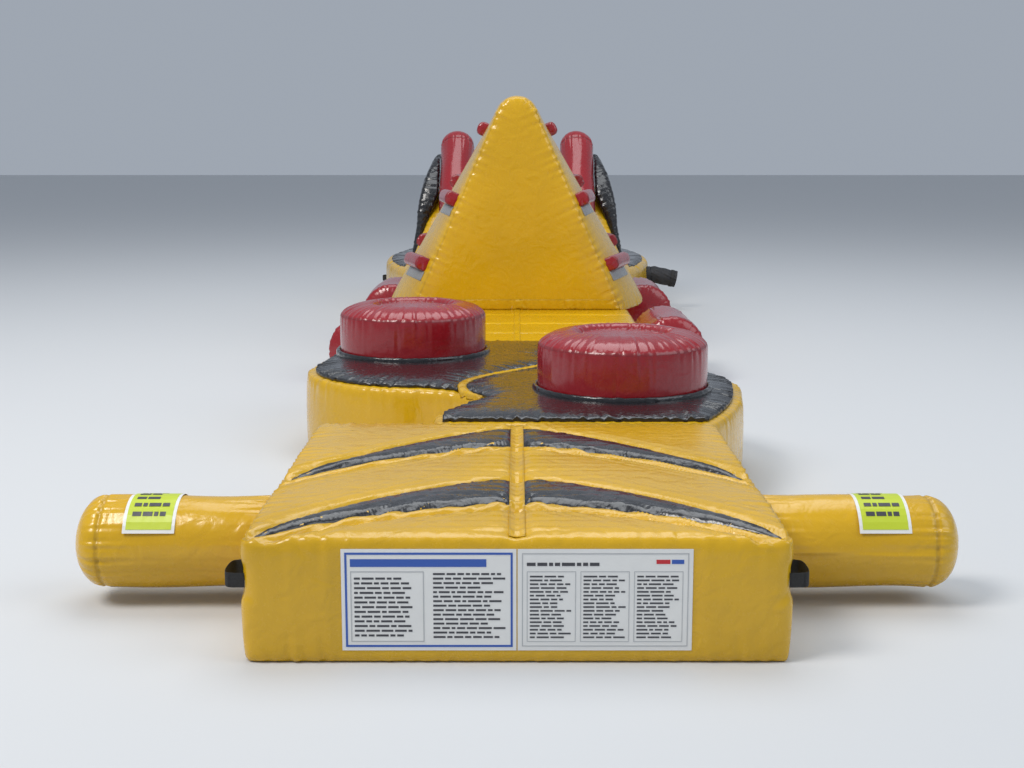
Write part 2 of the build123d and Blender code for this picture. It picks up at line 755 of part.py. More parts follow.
# The walls are filled: their long thin feet leave no room for a skin
with BuildPart() as right_wall:
    add(crossed(wall_end_view, wall_side_view, WALL_Y, WALL_LENGTH, 0))
finish(right_wall, "tower_wall_right")
group([right_wall.part.mirror(Plane.YZ)], "tower_wall_left")

# Red rails: round-ended tubes up the climbing side
rail_r = RAIL_D / 2
climb = math.atan2(TOWER_DECK_HEIGHT - TOWER_FOOT, TOWER_DECK_Y - TOWER_Y)
rail_axis_start = (
    along(TOWER_Y) - (rail_r + JOIN_GAP) * math.sin(climb) + RAIL_FOOT * math.cos(climb),
    TOWER_FOOT + (rail_r + JOIN_GAP) * math.cos(climb) + RAIL_FOOT * math.sin(climb),
)
for side, sign in SIDES:
    rail_plane = Plane(
        origin=(sign * RAIL_X, *rail_axis_start),
        x_dir=(0, math.cos(climb), math.sin(climb)),
        z_dir=(1, 0, 0),
    )
    with BuildPart() as rail:
        with BuildSketch(rail_plane):
            with BuildLine():
                Line((0, 0), (0, rail_r))
                Line((0, rail_r), (RAIL_LENGTH - rail_r, rail_r))
                ThreePointArc(
                    (RAIL_LENGTH - rail_r, rail_r),
                    (RAIL_LENGTH - rail_r * (1 - math.sqrt(0.5)), rail_r * math.sqrt(0.5)),
                    (RAIL_LENGTH, 0),
                )
                Line((RAIL_LENGTH, 0), (0, 0))
            make_face()
        revolve(axis=Axis(rail_plane.origin, rail_plane.x_dir))
        offset(amount=-SKIN, mode=Mode.SUBTRACT)
    finish(rail, f"tower_rail_{side}")

# The slide's bed lies on the body's back slope
slide_drop = TOWER_DECK_HEIGHT - TOWER_FOOT - SLIDE_LIP
slide_run = math.atan2(slide_drop, SLIDE_FOOT_Y - DECK_BACK_Y)
with BuildPart() as slide_bed:
    with BuildSketch(Plane.YZ.offset(-SLIDE_HALF)):
        with BuildLine():
            top_y, low_y = along(DECK_BACK_Y), along(SLIDE_FOOT_Y)
            low_z = TOWER_FOOT + SLIDE_LIP + JOIN_GAP
            high_z = TOWER_DECK_HEIGHT + JOIN_GAP
            lift = SLIDE_T / math.cos(slide_run)
            Polyline(
                (top_y, high_z), (low_y, low_z), (low_y, low_z + lift), (top_y, high_z + lift),
                close=True,
            )
        make_face()
    extrude(amount=2 * SLIDE_HALF)
    offset(amount=-SKIN, mode=Mode.SUBTRACT)
finish(slide_bed, "slide_bed")

webs(
    "tower_webs",
    [
        (0, TOWER_BASE_Y + TOWER_BASE_LENGTH * i / (TOWER_WEBS + 1), 2 * FRONT_HALF, WEB_T)
        for i in range(1, TOWER_WEBS + 1)
    ],
    TOWER_BASE_HEIGHT,
)

# Black panels on the base, each side of the tower
with BuildSketch() as wing_outline:
    add(tower_outline.sketch)
    offset(amount=-TOWER_EDGE_R, mode=Mode.REPLACE)
    with Locations((0, tower_middle)):
        wing_inner = TOWER_FOOT_HALF + WALL_FOOT + 4 * JOIN_GAP
        Rectangle(2 * wing_inner, 2 * TOWER_BASE_LENGTH, mode=Mode.SUBTRACT)
for side, face in zip(("left", "right"), wing_outline.faces().sort_by(Axis.X)):
    with BuildPart() as wing:
        with BuildSketch(Plane.XY.offset(TOWER_BASE_HEIGHT)):
            add(face)
        extrude(amount=PANEL_T)
    finish(wing, f"tower_top_{side}")

# ---------------------------------------------------------------- blower sleeve
def base_side_x(y):
    """The tower base's X at a distance behind the front panel, on its curved side."""
    half = TOWER_BASE_LENGTH / 2
    rise = TOWER_BASE_HALF - FRONT_HALF
    radius = (half * half + rise * rise) / (2 * rise)
    offset_y = y - TOWER_BASE_Y - half
    return TOWER_BASE_HALF - radius + math.sqrt(radius * radius - offset_y * offset_y)


sleeve_r = SLEEVE_D / 2
droop = math.radians(SLEEVE_DROOP)
sleeve_out = (math.cos(droop), 0, -math.sin(droop))
wall_x = base_side_x(SLEEVE_Y)
pivot_x = wall_x + COLLAR_REACH + SLEEVE_SEAT
sleeve_pivot = (pivot_x, along(SLEEVE_Y), SLEEVE_Z)

# The collar's lip holds the sleeve's round root from behind, so the sleeve can swing
with BuildPart() as sleeve_collar:
    with BuildSketch(Plane(origin=sleeve_pivot, x_dir=(1, 0, 0), z_dir=(0, -1, 0))):
        with BuildLine():
            lip_r = math.sqrt((sleeve_r + JOIN_GAP) ** 2 - SLEEVE_SEAT**2)
            lip_back = -SLEEVE_SEAT - SLEEVE_SKIN
            collar_back = 2 * (COLLAR_REACH + SLEEVE_SEAT)  # inside the base, trimmed below
            Polyline(
                (-SLEEVE_SEAT, lip_r), (-SLEEVE_SEAT, sleeve_r), (-collar_back, sleeve_r),
                (-collar_back, sleeve_r - SLEEVE_SKIN), (lip_back, sleeve_r - SLEEVE_SKIN),
                (lip_back, lip_r), close=True,
            )
        make_face()
    revolve(axis=Axis(sleeve_pivot, (1, 0, 0)))
    with BuildSketch():
        add(tower_outline.sketch)
    extrude(amount=TOWER_BASE_HEIGHT, mode=Mode.SUBTRACT)
finish(sleeve_collar, "sleeve_collar")

with BuildPart() as blower_sleeve:
    with BuildSketch(Plane(origin=sleeve_pivot, x_dir=sleeve_out, z_dir=(0, -1, 0))):
        with BuildLine():
            inner = sleeve_r - SLEEVE_SKIN
            Line((-sleeve_r, 0), (-inner, 0))
            ThreePointArc((-inner, 0), (-inner * math.sqrt(0.5), inner * math.sqrt(0.5)), (0, inner))
            Polyline((0, inner), (SLEEVE_LENGTH, inner), (SLEEVE_LENGTH, sleeve_r), (0, sleeve_r))
            slant = sleeve_r * math.sqrt(0.5)
            ThreePointArc((0, sleeve_r), (-slant, slant), (-sleeve_r, 0))
        make_face()
    revolve(axis=Axis(sleeve_pivot, sleeve_out))
finish(blower_sleeve, "blower_sleeve")

tie_start = SLEEVE_LENGTH - 2 * TIE_WIDTH
tie_plane = Plane(
    origin=Vector(*sleeve_pivot) + Vector(*sleeve_out) * tie_start, z_dir=sleeve_out
)
with BuildPart() as sleeve_tie:
    with BuildSketch(tie_plane):
        Circle(sleeve_r + JOIN_GAP + TIE_T)
        Circle(sleeve_r + JOIN_GAP, mode=Mode.SUBTRACT)
    extrude(amount=TIE_WIDTH)
finish(sleeve_tie, "sleeve_tie")

# ---------------------------------------------------------------- webbing handles
def handle_tabs(side_at, sign, y):
    """Two webbing tabs that stand out from the chamber's side."""
    with BuildPart() as tabs:
        for end in (-1, 1):
            place = end * (HANDLE_LENGTH / 2 + WEBBING_T / 2 + JOIN_GAP)
            side_x = side_at(y + place)
            with BuildSketch(Plane.XZ.offset(-(along(y) + place) - WEBBING_T / 2)):
                tab_length = HANDLE_PIVOT + WEBBING / 4
                with Locations((sign * (side_x + JOIN_GAP + tab_length / 2), HANDLE_Z)):
                    Rectangle(tab_length, WEBBING)
            extrude(amount=WEBBING_T)
    return tabs.part


def handle_loop(name, side_x, sign, y):
    """The loop: two legs that turn on the tabs' stitch line, and the grip between them."""
    pivot = sign * (side_x + JOIN_GAP + HANDLE_PIVOT)
    outer = sign * (side_x + HANDLE_REACH)
    y1 = along(y) - HANDLE_LENGTH / 2
    y2 = along(y) + HANDLE_LENGTH / 2
    with BuildPart() as loop:
        for leg_y in (y1, y2 - WEBBING_T):
            with BuildSketch(Plane.XZ.offset(-leg_y - WEBBING_T)):
                with Locations((pivot, HANDLE_Z)):
                    Circle(WEBBING / 2)
                with Locations(((pivot + outer) / 2, HANDLE_Z)):
                    Rectangle(abs(outer - pivot), WEBBING)
            extrude(amount=WEBBING_T)
        with BuildSketch(Plane.YZ.offset(outer)):
            with Locations((along(y), HANDLE_Z)):
                Rectangle(HANDLE_LENGTH, WEBBING)
        extrude(amount=-sign * WEBBING_T)
    finish(loop, name)


def mat_side_x(y):
    """The entry mat's side, the same all along."""
    return MAT_WIDTH / 2


all_tabs = []
for side, sign in SIDES:
    for place, side_at, y in (
        ("front", mat_side_x, HANDLE_Y),
        ("rear", base_side_x, REAR_HANDLE_Y),
    ):
        all_tabs.append(handle_tabs(side_at, sign, y))
        handle_loop(f"handle_{place}_{side}", side_at(y), sign, y)
group(all_tabs, "handle_tabs")

# ---------------------------------------------------------------- deflation zips
tapes = []
for name, side_x, sign, y in (
    ("mat", MAT_WIDTH / 2, 1, MAT_ZIP_Y),
    ("course", COURSE_WIDTH / 2, -1, COURSE_ZIP_Y),
):
    with BuildPart() as tape:
        with BuildSketch(Plane.YZ.offset(sign * side_x)):
            with Locations((along(y), ZIP_Z)):
                Rectangle(ZIP_LENGTH + ZIP_TAPE, ZIP_TAPE)
        extrude(amount=sign * ZIP_T)
        with BuildSketch(Plane.YZ.offset(sign * (side_x + ZIP_T))):
            with Locations((along(y), ZIP_Z)):
                Rectangle(ZIP_LENGTH, ZIP_TEETH)
        extrude(amount=sign * ZIP_T)
    tapes.append(tape.part)

    with BuildPart() as slider:
        with BuildSketch(Plane.YZ.offset(sign * (side_x + ZIP_T + JOIN_GAP))):
            with Locations((along(y) - (ZIP_LENGTH - SLIDER_LENGTH) / 2, ZIP_Z)):
                Rectangle(SLIDER_LENGTH, SLIDER_WIDTH)
        extrude(amount=sign * 3 * ZIP_T)
        with BuildSketch(Plane.YZ.offset(sign * (side_x + ZIP_T))):
            with Locations((along(y), ZIP_Z)):
                Rectangle(2 * ZIP_LENGTH, ZIP_TEETH + 2 * JOIN_GAP)
        extrude(amount=sign * (ZIP_T + JOIN_GAP), mode=Mode.SUBTRACT)
    finish(slider, f"zip_slider_{name}")
group(tapes, "zip_tapes")
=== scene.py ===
"""Visual model of an inflatable pool obstacle course.

Metres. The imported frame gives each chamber's size and place. Every air chamber is inflated
from its own outer skin: rounded, crowned between its seams and puckered along them.
"""

import json
import math

import bmesh
import bpy
import numpy as np
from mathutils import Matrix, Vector
from mathutils.bvhtree import BVHTree
from mathutils.kdtree import KDTree

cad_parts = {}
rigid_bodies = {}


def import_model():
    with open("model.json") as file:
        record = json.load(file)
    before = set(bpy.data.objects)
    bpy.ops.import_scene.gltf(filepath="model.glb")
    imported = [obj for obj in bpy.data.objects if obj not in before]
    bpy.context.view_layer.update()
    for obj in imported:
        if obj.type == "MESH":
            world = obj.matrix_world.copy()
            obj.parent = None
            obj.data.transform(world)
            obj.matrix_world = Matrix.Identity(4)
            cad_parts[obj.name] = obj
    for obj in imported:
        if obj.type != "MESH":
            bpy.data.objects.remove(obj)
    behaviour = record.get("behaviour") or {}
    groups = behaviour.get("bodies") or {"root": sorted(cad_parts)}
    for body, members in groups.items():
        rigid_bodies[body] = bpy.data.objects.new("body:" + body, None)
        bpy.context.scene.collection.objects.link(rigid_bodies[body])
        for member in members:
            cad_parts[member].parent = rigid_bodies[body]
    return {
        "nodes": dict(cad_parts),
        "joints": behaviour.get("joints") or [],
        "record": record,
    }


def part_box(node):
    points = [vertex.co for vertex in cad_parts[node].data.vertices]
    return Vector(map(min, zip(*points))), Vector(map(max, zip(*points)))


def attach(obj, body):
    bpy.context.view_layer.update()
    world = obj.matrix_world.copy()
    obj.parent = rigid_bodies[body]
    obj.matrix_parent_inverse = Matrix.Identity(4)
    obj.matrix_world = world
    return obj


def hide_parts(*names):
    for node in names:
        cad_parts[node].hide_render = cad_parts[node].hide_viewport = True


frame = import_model()

bl_info = {
    "name": "Inflatable Obstacle Course",
    "version": (1, 0, 0),
    "blender": (4, 5, 0),
    "location": "View3D > Sidebar > Course",
    "description": "Builds the obstacle course's visual model, one operator to a group",
    "category": "Object",
}

SIDES = ("left", "right")


def front_y():
    """Y of the front panel, behind the cards."""
    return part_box("entry_mat")[0].y


# ------------------------------------------------------------------ sizes
class CourseFabric(bpy.types.PropertyGroup):
    """How the coated fabric lies over the air chambers."""

    puff: bpy.props.FloatProperty(
        name="Puff", description="Crown of a panel between its seams", default=0.012,
        unit="LENGTH", subtype="DISTANCE")
    pucker: bpy.props.FloatProperty(
        name="Pucker", description="Depth of the folds that run out from a seam", default=0.0072,
        unit="LENGTH", subtype="DISTANCE")
    reach: bpy.props.FloatProperty(
        name="Reach", description="How far a pucker runs out from its seam", default=0.075,
        unit="LENGTH", subtype="DISTANCE")
    pitch: bpy.props.FloatProperty(
        name="Pitch", description="Spacing of the puckers along a seam", default=0.062,
        unit="LENGTH", subtype="DISTANCE")
    quilt: bpy.props.FloatProperty(
        name="Quilt", description="Depth of a quilting seam in a mat", default=0.017,
        unit="LENGTH", subtype="DISTANCE")
    rounding: bpy.props.IntProperty(
        name="Rounding", description="Smoothing passes on a chamber's edges", default=9)
    cell: bpy.props.FloatProperty(
        name="Cell", description="Grid of a chamber's surface", default=0.014,
        unit="LENGTH", subtype="DISTANCE")


class CourseFittings(bpy.types.PropertyGroup):
    """Webbing, sleeve and zips."""

    weave: bpy.props.FloatProperty(
        name="Weave", description="Pitch of the webbing's rows", default=0.0022,
        unit="LENGTH", subtype="DISTANCE")
    folds: bpy.props.IntProperty(
        name="Folds", description="Gathers round the blower sleeve", default=11)
    fold_depth: bpy.props.FloatProperty(
        name="Fold depth", description="Depth of the sleeve's gathers", default=0.006,
        unit="LENGTH", subtype="DISTANCE")
    tooth_pitch: bpy.props.FloatProperty(
        name="Tooth pitch", description="Spacing of the zip's teeth", default=0.006,
        unit="LENGTH", subtype="DISTANCE")


class CourseStage(bpy.types.PropertyGroup):
    """Camera."""

    eye: bpy.props.FloatProperty(
        name="Eye", description="Camera height", default=1.70, unit="LENGTH", subtype="DISTANCE")
    back: bpy.props.FloatProperty(
        name="Back", description="Camera distance in front of the front panel", default=4.465,
        unit="LENGTH", subtype="DISTANCE")
    pitch: bpy.props.FloatProperty(
        name="Pitch", description="Camera tilt below level", default=math.radians(9.7365),
        unit="ROTATION", subtype="ANGLE")
    lens: bpy.props.FloatProperty(name="Lens", description="Focal length in mm", default=50.0)


# ------------------------------------------------------------------ mesh helpers
def new_object(name, mesh, material, body="root"):
    """Link a finished mesh, give it its material, smooth it and ride it on its body."""
    mesh.materials.clear()
    mesh.materials.append(material)
    mesh.shade_smooth()
    piece = bpy.data.objects.new(name, mesh)
    bpy.context.scene.collection.objects.link(piece)
    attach(piece, body)
    return piece


def grid_mesh(name, points, wrap_u=False, wrap_v=False):
    """Quads over points[u, v]; wrapped sides join and rows at one point close to a pole."""
    nu, nv = points.shape[:2]
    i = np.arange(nu if wrap_u else nu - 1)
    j = np.arange(nv if wrap_v else nv - 1)
    a, b = np.meshgrid(i, j, indexing="ij")
    c, d = (a + 1) % nu, (b + 1) % nv
    faces = np.stack([a * nv + b, c * nv + b, c * nv + d, a * nv + d], -1).reshape(-1, 4)
    mesh = bpy.data.meshes.new(name)
    mesh.from_pydata(points.reshape(-1, 3), [], faces)
    bm = bmesh.new()
    bm.from_mesh(mesh)
    bmesh.ops.remove_doubles(bm, verts=bm.verts, dist=1e-6)
    bmesh.ops.recalc_face_normals(bm, faces=bm.faces)
    bm.to_mesh(mesh)
    bm.free()
    return mesh


def shell(node):
    """A CAD node's outer skin as a bmesh, without the inside of its hollow."""
    bm = bmesh.new()
    bm.from_mesh(frame["nodes"][node].data)
    bmesh.ops.remove_doubles(bm, verts=bm.verts, dist=1e-5)
    left, islands = set(bm.verts), []
    while left:
        stack, island = [left.pop()], []
        while stack:
            v = stack.pop()
            island.append(v)
            for e in v.link_edges:
                w = e.other_vert(v)
                if w in left:
                    left.discard(w)
                    stack.append(w)
        co = np.array([v.co for v in island])
        islands.append((co.min(0), co.max(0), island))
    for lo, hi, island in islands:
        inside = any((lo > l + 1e-3).all() and (hi < h - 1e-3).all() for l, h, _ in islands)
        if inside:
            bmesh.ops.delete(bm, geom=island, context="VERTS")
    return bm


def seam_samples(bm, sharpness=0.6, step=0.008):
    """Points along the sharp edges, each with its arc length along its own chain of edges."""
    sharp = [e for e in bm.edges if len(e.link_faces) == 2 and e.calc_face_angle(0) > sharpness]
    left = set(sharp)
    out, lengths = [], []
    while left:
        edge = left.pop()
        for v in edge.verts:
            walk, here, at = edge, v, 0.0
            chain = [(edge.other_vert(v).co, v.co)] if v == edge.verts[1] else []
            while True:
                ahead = [e for e in here.link_edges if e in left]
                if not ahead:
                    break
                walk = ahead[0]
                left.discard(walk)
                chain.append((here.co, walk.other_vert(here).co))
                here = walk.other_vert(here)
            for a, b in chain:
                a, b = np.array(a), np.array(b)
                length = np.linalg.norm(b - a)
                t = np.linspace(0, 1, max(2, int(length / step) + 1))
                out.append(a + (b - a) * t[:, None])
                lengths.append(at + length * t)
                at += length
    return (np.concatenate(out), np.concatenate(lengths)) if out else (None, None)


def ripple(s, pitch):
    """Uneven folds along a seam: three waves whose spacings share no whole ratio, from -1 to 1."""
    waves = np.sin(math.tau * s / pitch) + 0.6 * np.sin(math.tau * s / (pitch * 0.61) + 1.3)
    swell = 0.65 + 0.35 * np.sin(math.tau * s / (pitch * 6.3) + 0.7)
    return (waves + 0.5 * np.sin(math.tau * s / (pitch * 2.17) + 2.1)) / 2.1 * swell


def arrays(mesh):
    """Vertex places and normals as (N, 3) arrays."""
    n = len(mesh.vertices)
    co, no = np.zeros(n * 3, np.float32), np.zeros(n * 3, np.float32)
    mesh.vertices.foreach_get("co", co)
    mesh.vertex_normals.foreach_get("vector", no)
    return co.reshape(-1, 3).astype(float), no.reshape(-1, 3).astype(float)


def put(mesh, co):
    """Write (N, 3) vertex places back."""
    mesh.vertices.foreach_set("co", co.astype(np.float32).ravel())
    mesh.update()


def mark(mesh, name, values):
    """Store one number per vertex for the material to read."""
    attribute = mesh.attributes.new(name, "FLOAT", "POINT")
    attribute.data.foreach_set("value", values.astype(np.float32))


def smooth_step(a, b, x):
    """0 below a, 1 above b, and a soft step between."""
    t = np.clip((x - a) / (b - a), 0, 1)
    return t * t * (3 - 2 * t)


def inflate(node, material, cell=None, field=None, puff=1.0, rounding=None, pucker=1.0,
            calm=None):
    """Inflate a chamber from its CAD node's outer skin.

    The skin is gridded at cell, its edges are smoothed round, and each vertex then moves along
    its normal by puff * (1 - exp(-d / reach)) + pucker * exp(-d / reach) * ripple(s), where d is
    the distance to the nearest seam and s the arc length along it. field(co, no) adds a
    further (N,) push for quilting seams, and calm(co) scales the whole push down near fittings.
    """
    fabric = bpy.context.scene.course_fabric
    bm = shell(node)
    places, arc = seam_samples(bm)
    rough = bpy.data.meshes.new(node + "_skin")
    bm.to_mesh(rough)
    bm.free()
    holder = bpy.data.objects.new(node + "_holder", rough)
    bpy.context.scene.collection.objects.link(holder)
    remesh = holder.modifiers.new("grid", "REMESH")
    remesh.mode = "VOXEL"
    remesh.voxel_size = cell or fabric.cell
    soften = holder.modifiers.new("round", "SMOOTH")
    soften.factor = 0.5
    soften.iterations = fabric.rounding if rounding is None else rounding
    mesh = bpy.data.meshes.new_from_object(
        holder.evaluated_get(bpy.context.evaluated_depsgraph_get()))
    bpy.data.objects.remove(holder)
    mesh.name = node + "_inflated"
    co, no = arrays(mesh)
    push = np.zeros(len(co))
    seam = np.zeros(len(co))
    if places is not None:
        tree = KDTree(len(places))
        for k, p in enumerate(places):
            tree.insert(p, k)
        tree.balance()
        near = [tree.find(p) for p in co]
        d = np.array([h[2] for h in near])
        s = arc[[h[1] for h in near]]
        fade = np.exp(-d / fabric.reach)
        push += puff * fabric.puff * (1 - fade) + pucker * fabric.pucker * fade * ripple(s, fabric.pitch)
        seam = np.exp(-((d / 0.012) ** 2))
    if field:
        extra, line = field(co, no)
        push += extra
        seam = np.maximum(seam, line)
    down = smooth_step(-0.5, -0.95, no[:, 2])
    push *= 1 - np.clip(down, 0, 1)
    if calm:
        push *= calm(co)
    put(mesh, co + no * push[:, None])
    mark(mesh, "seam", seam)
    piece = new_object(node + "_air", mesh, material)
    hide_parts(node)
    return piece


def surface_tree(objects):
    """A search tree over the outer faces of finished pieces."""
    points, faces, base = [], [], 0
    for o in objects:
        points += [v.co for v in o.data.vertices]
        faces += [[base + i for i in f.vertices] for f in o.data.polygons]
        base = len(points)
    return BVHTree.FromPolygons(points, faces)


def dressed(node, over, material, crown=0.0, pucker=0.0, lift=0.001, cut=0.03):
    """A thin panel on inflated chambers: its CAD skin, cut finer than cut and laid on them.

    Each vertex keeps its height above the flat chamber, and its foot moves to the inflated
    surface along the flat chamber's normal. The outside then rises by
    crown * (1 - exp(-d / reach)) + pucker * exp(-d / reach) * ripple(s) from its own outline.
    """
    fabric = bpy.context.scene.course_fabric
    bm = bmesh.new()
    bm.from_mesh(frame["nodes"][node].data)
    bmesh.ops.remove_doubles(bm, verts=bm.verts, dist=1e-5)
    outline, arc = seam_samples(bm)
    for _ in range(9):
        long_edges = [e for e in bm.edges if e.calc_length() > cut]
        if not long_edges:
            break
        bmesh.ops.subdivide_edges(bm, edges=long_edges, cuts=1)
        bmesh.ops.triangulate(bm, faces=[f for f in bm.faces if len(f.verts) > 3])
    mesh = bpy.data.meshes.new(node + "_laid")
    bm.to_mesh(mesh)
    bm.free()
    flat = surface_tree([frame["nodes"][n] for n in over])
    full = surface_tree([bpy.data.objects[n + "_air"] for n in over])
    tree = KDTree(len(outline))
    for k, p in enumerate(outline):
        tree.insert(p, k)
    tree.balance()
    co, _ = arrays(mesh)
    edge = np.zeros(len(co))
    for k, p in enumerate(co):
        foot, normal, _, _ = flat.find_nearest(Vector(p))
        height = (Vector(p) - foot).dot(normal)
        hit = full.ray_cast(foot + normal * 0.12, -normal, 0.3)[0]
        _, index, d = tree.find(p)
        fade = math.exp(-d / fabric.reach)
        rise = crown * (1 - fade) + pucker * fade * ripple(arc[index], fabric.pitch)
        rise = rise if height > 0.0015 else 0.0
        co[k] = (hit if hit else foot) + normal * (max(height, 0.0) + lift + rise)
        edge[k] = math.exp(-((d / 0.008) ** 2))
    put(mesh, co)
    mark(mesh, "seam", edge)
    piece = new_object(node + "_laid", mesh, material)
    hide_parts(node)
    return piece


def revolved(name, start, axis, stations, radius, sides=192):
    """A surface swept round axis from start: stations along it and radius(angle, station index)."""
    start, axis = np.array(start, float), np.array(axis, float)
    axis /= np.linalg.norm(axis)
    aside = np.cross(axis, (0, 0, 1) if abs(axis[2]) < 0.9 else (0, 1, 0))
    aside /= np.linalg.norm(aside)
    up = np.cross(aside, axis)
    turn = np.linspace(0, math.tau, sides, endpoint=False)
    along, r = stations(turn) if callable(stations) else (stations, radius)
    ring = np.cos(turn)[None, :, None] * aside + np.sin(turn)[None, :, None] * up
    points = start + along[..., None] * axis + r[..., None] * ring
    return grid_mesh(name, points, wrap_v=True)


def tube_profile(length, radius, dome_start, dome_end, rows=150):
    """Stations and radii of a tube whose ends are domes of the given depth, bunched at the domes.

    A dome's radius is radius * (1 - (1 - x / depth) ** 2.2) ** (1 / 2.2).
    """
    t = np.linspace(0, math.pi, rows)
    s = length * (0.5 - 0.5 * np.cos(t))
    r = np.full(rows, radius)
    for depth, away in ((dome_start, s), (dome_end, length - s)):
        if depth > 0:
            x = np.clip(1 - away / depth, 0, 1)
            r = np.minimum(r, radius * (1 - x**2.2) ** (1 / 2.2))
    r[0] = r[-1] = 0.0
    if dome_start == 0:
        s[1] = 0.0
    if dome_end == 0:
        s[-2] = length
    return s, r


def air_tube(name, node, start, axis, length, radius, domes, material, folds=26, count=0):
    """An air tube with a cap seam at each dome, puckered round it, and a lengthwise seam.

    The skin is r(s) * (1 + sum of A * exp(-|s - cap| / reach) * ripple(turn)).
    """
    fabric = bpy.context.scene.course_fabric
    s, r = tube_profile(length, radius, *domes)
    caps = [(domes[0] or 0.012), length - (domes[1] or 0.012)]
    turn_seam = math.radians(205)

    def stations(turn):
        wave = ripple(turn * radius + count, math.tau * radius / folds)
        push = np.zeros((len(s), len(turn)))
        for cap in caps:
            d = np.abs(s - cap)
            push += fabric.pucker * np.exp(-d / fabric.reach)[:, None] * wave[None, :]
            push -= 0.006 * np.exp(-((d / 0.008) ** 2))[:, None]
        off = np.abs((turn - turn_seam + math.pi) % math.tau - math.pi) * radius
        push -= 0.004 * np.exp(-((off / 0.008) ** 2))[None, :]
        push += 0.004 * np.sin(2.3 * turn[None, :] + 9 * s[:, None] + count)
        wide = np.clip(r / radius, 0, 1)[:, None]
        return np.repeat(s[:, None], len(turn), 1), r[:, None] + push * wide

    mesh = revolved(name, start, axis, stations, None)
    co, _ = arrays(mesh)
    put(mesh, np.column_stack([co[:, :2], np.maximum(co[:, 2], 0.0)]))
    at = (co - np.array(start)) @ np.array(axis, float)
    mark(mesh, "seam", sum(np.exp(-((np.abs(at - cap) / 0.010) ** 2)) for cap in caps))
    piece = new_object(name, mesh, material)
    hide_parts(node)
    return piece


def band(name, path, wide, thick, half_width, material, body="root"):
    """A webbing strip swept along path: a rounded flat section, half_width each way along wide."""
    path, wide = np.array(path, float), np.array(wide, float)
    tangent = np.gradient(path, axis=0)
    tangent /= np.linalg.norm(tangent, axis=1)[:, None]
    normal = np.cross(tangent, wide)
    normal /= np.linalg.norm(normal, axis=1)[:, None]
    turn = np.linspace(0, math.tau, 40, endpoint=False)
    across = np.sign(np.cos(turn)) * np.abs(np.cos(turn)) ** 0.35 * half_width
    out = np.sign(np.sin(turn)) * np.abs(np.sin(turn)) ** 0.8 * thick / 2
    points = path[:, None] + across[None, :, None] * wide + out[None, :, None] * normal[:, None]
    middle = points.mean(1, keepdims=True)
    ends = [np.repeat(middle[i : i + 1], len(turn), 1) for i in (0, -1)]
    mesh = grid_mesh(name, np.concatenate([ends[0], points, ends[1]]), wrap_v=True)
    return new_object(name, mesh, material, body)


def boxes_mesh(name, boxes):
    """One mesh of plain boxes, each (low corner, high corner)."""
    corners = np.array([[x, y, z] for x in (0, 1) for y in (0, 1) for z in (0, 1)])
    quads = np.array([[0, 1, 3, 2], [4, 6, 7, 5], [0, 4, 5, 1], [2, 3, 7, 6], [0, 2, 6, 4], [1, 5, 7, 3]])
    lows = np.array([b[0] for b in boxes], float)
    highs = np.array([b[1] for b in boxes], float)
    points = lows[:, None] + corners[None] * (highs - lows)[:, None]
    faces = (quads[None] + 8 * np.arange(len(boxes))[:, None, None]).reshape(-1, 4)
    mesh = bpy.data.meshes.new(name)
    mesh.from_pydata(points.reshape(-1, 3), [], faces)
    return mesh


# ------------------------------------------------------------------ materials
def node_group(name, inputs, outputs):
    """An empty shader group with float, colour or vector sockets."""
    group = bpy.data.node_groups.new(name, "ShaderNodeTree")
    kinds = {"f": "NodeSocketFloat", "c": "NodeSocketColor", "v": "NodeSocketVector"}
    for label, kind in inputs:
        group.interface.new_socket(label, in_out="INPUT", socket_type=kinds[kind])
    for label, kind in outputs:
        group.interface.new_socket(label, in_out="OUTPUT", socket_type=kinds[kind])
    return group, group.nodes.new("NodeGroupInput"), group.nodes.new("NodeGroupOutput")


def add_node(tree, kind, **values):
    """A node with its sockets set: a value by input name, a link from an output socket."""
    made = tree.nodes.new(kind)
    settings = values.pop("settings", {})
    for key, value in settings.items():
        setattr(made, key, value)
    for key, value in values.items():
        socket = made.inputs[int(key[1:])] if key[0] == "i" and key[1:].isdigit() else made.inputs[key.replace("_", " ")]
        if isinstance(value, bpy.types.NodeSocket):
            tree.links.new(value, socket)
        else:
            socket.default_value = value
    return made


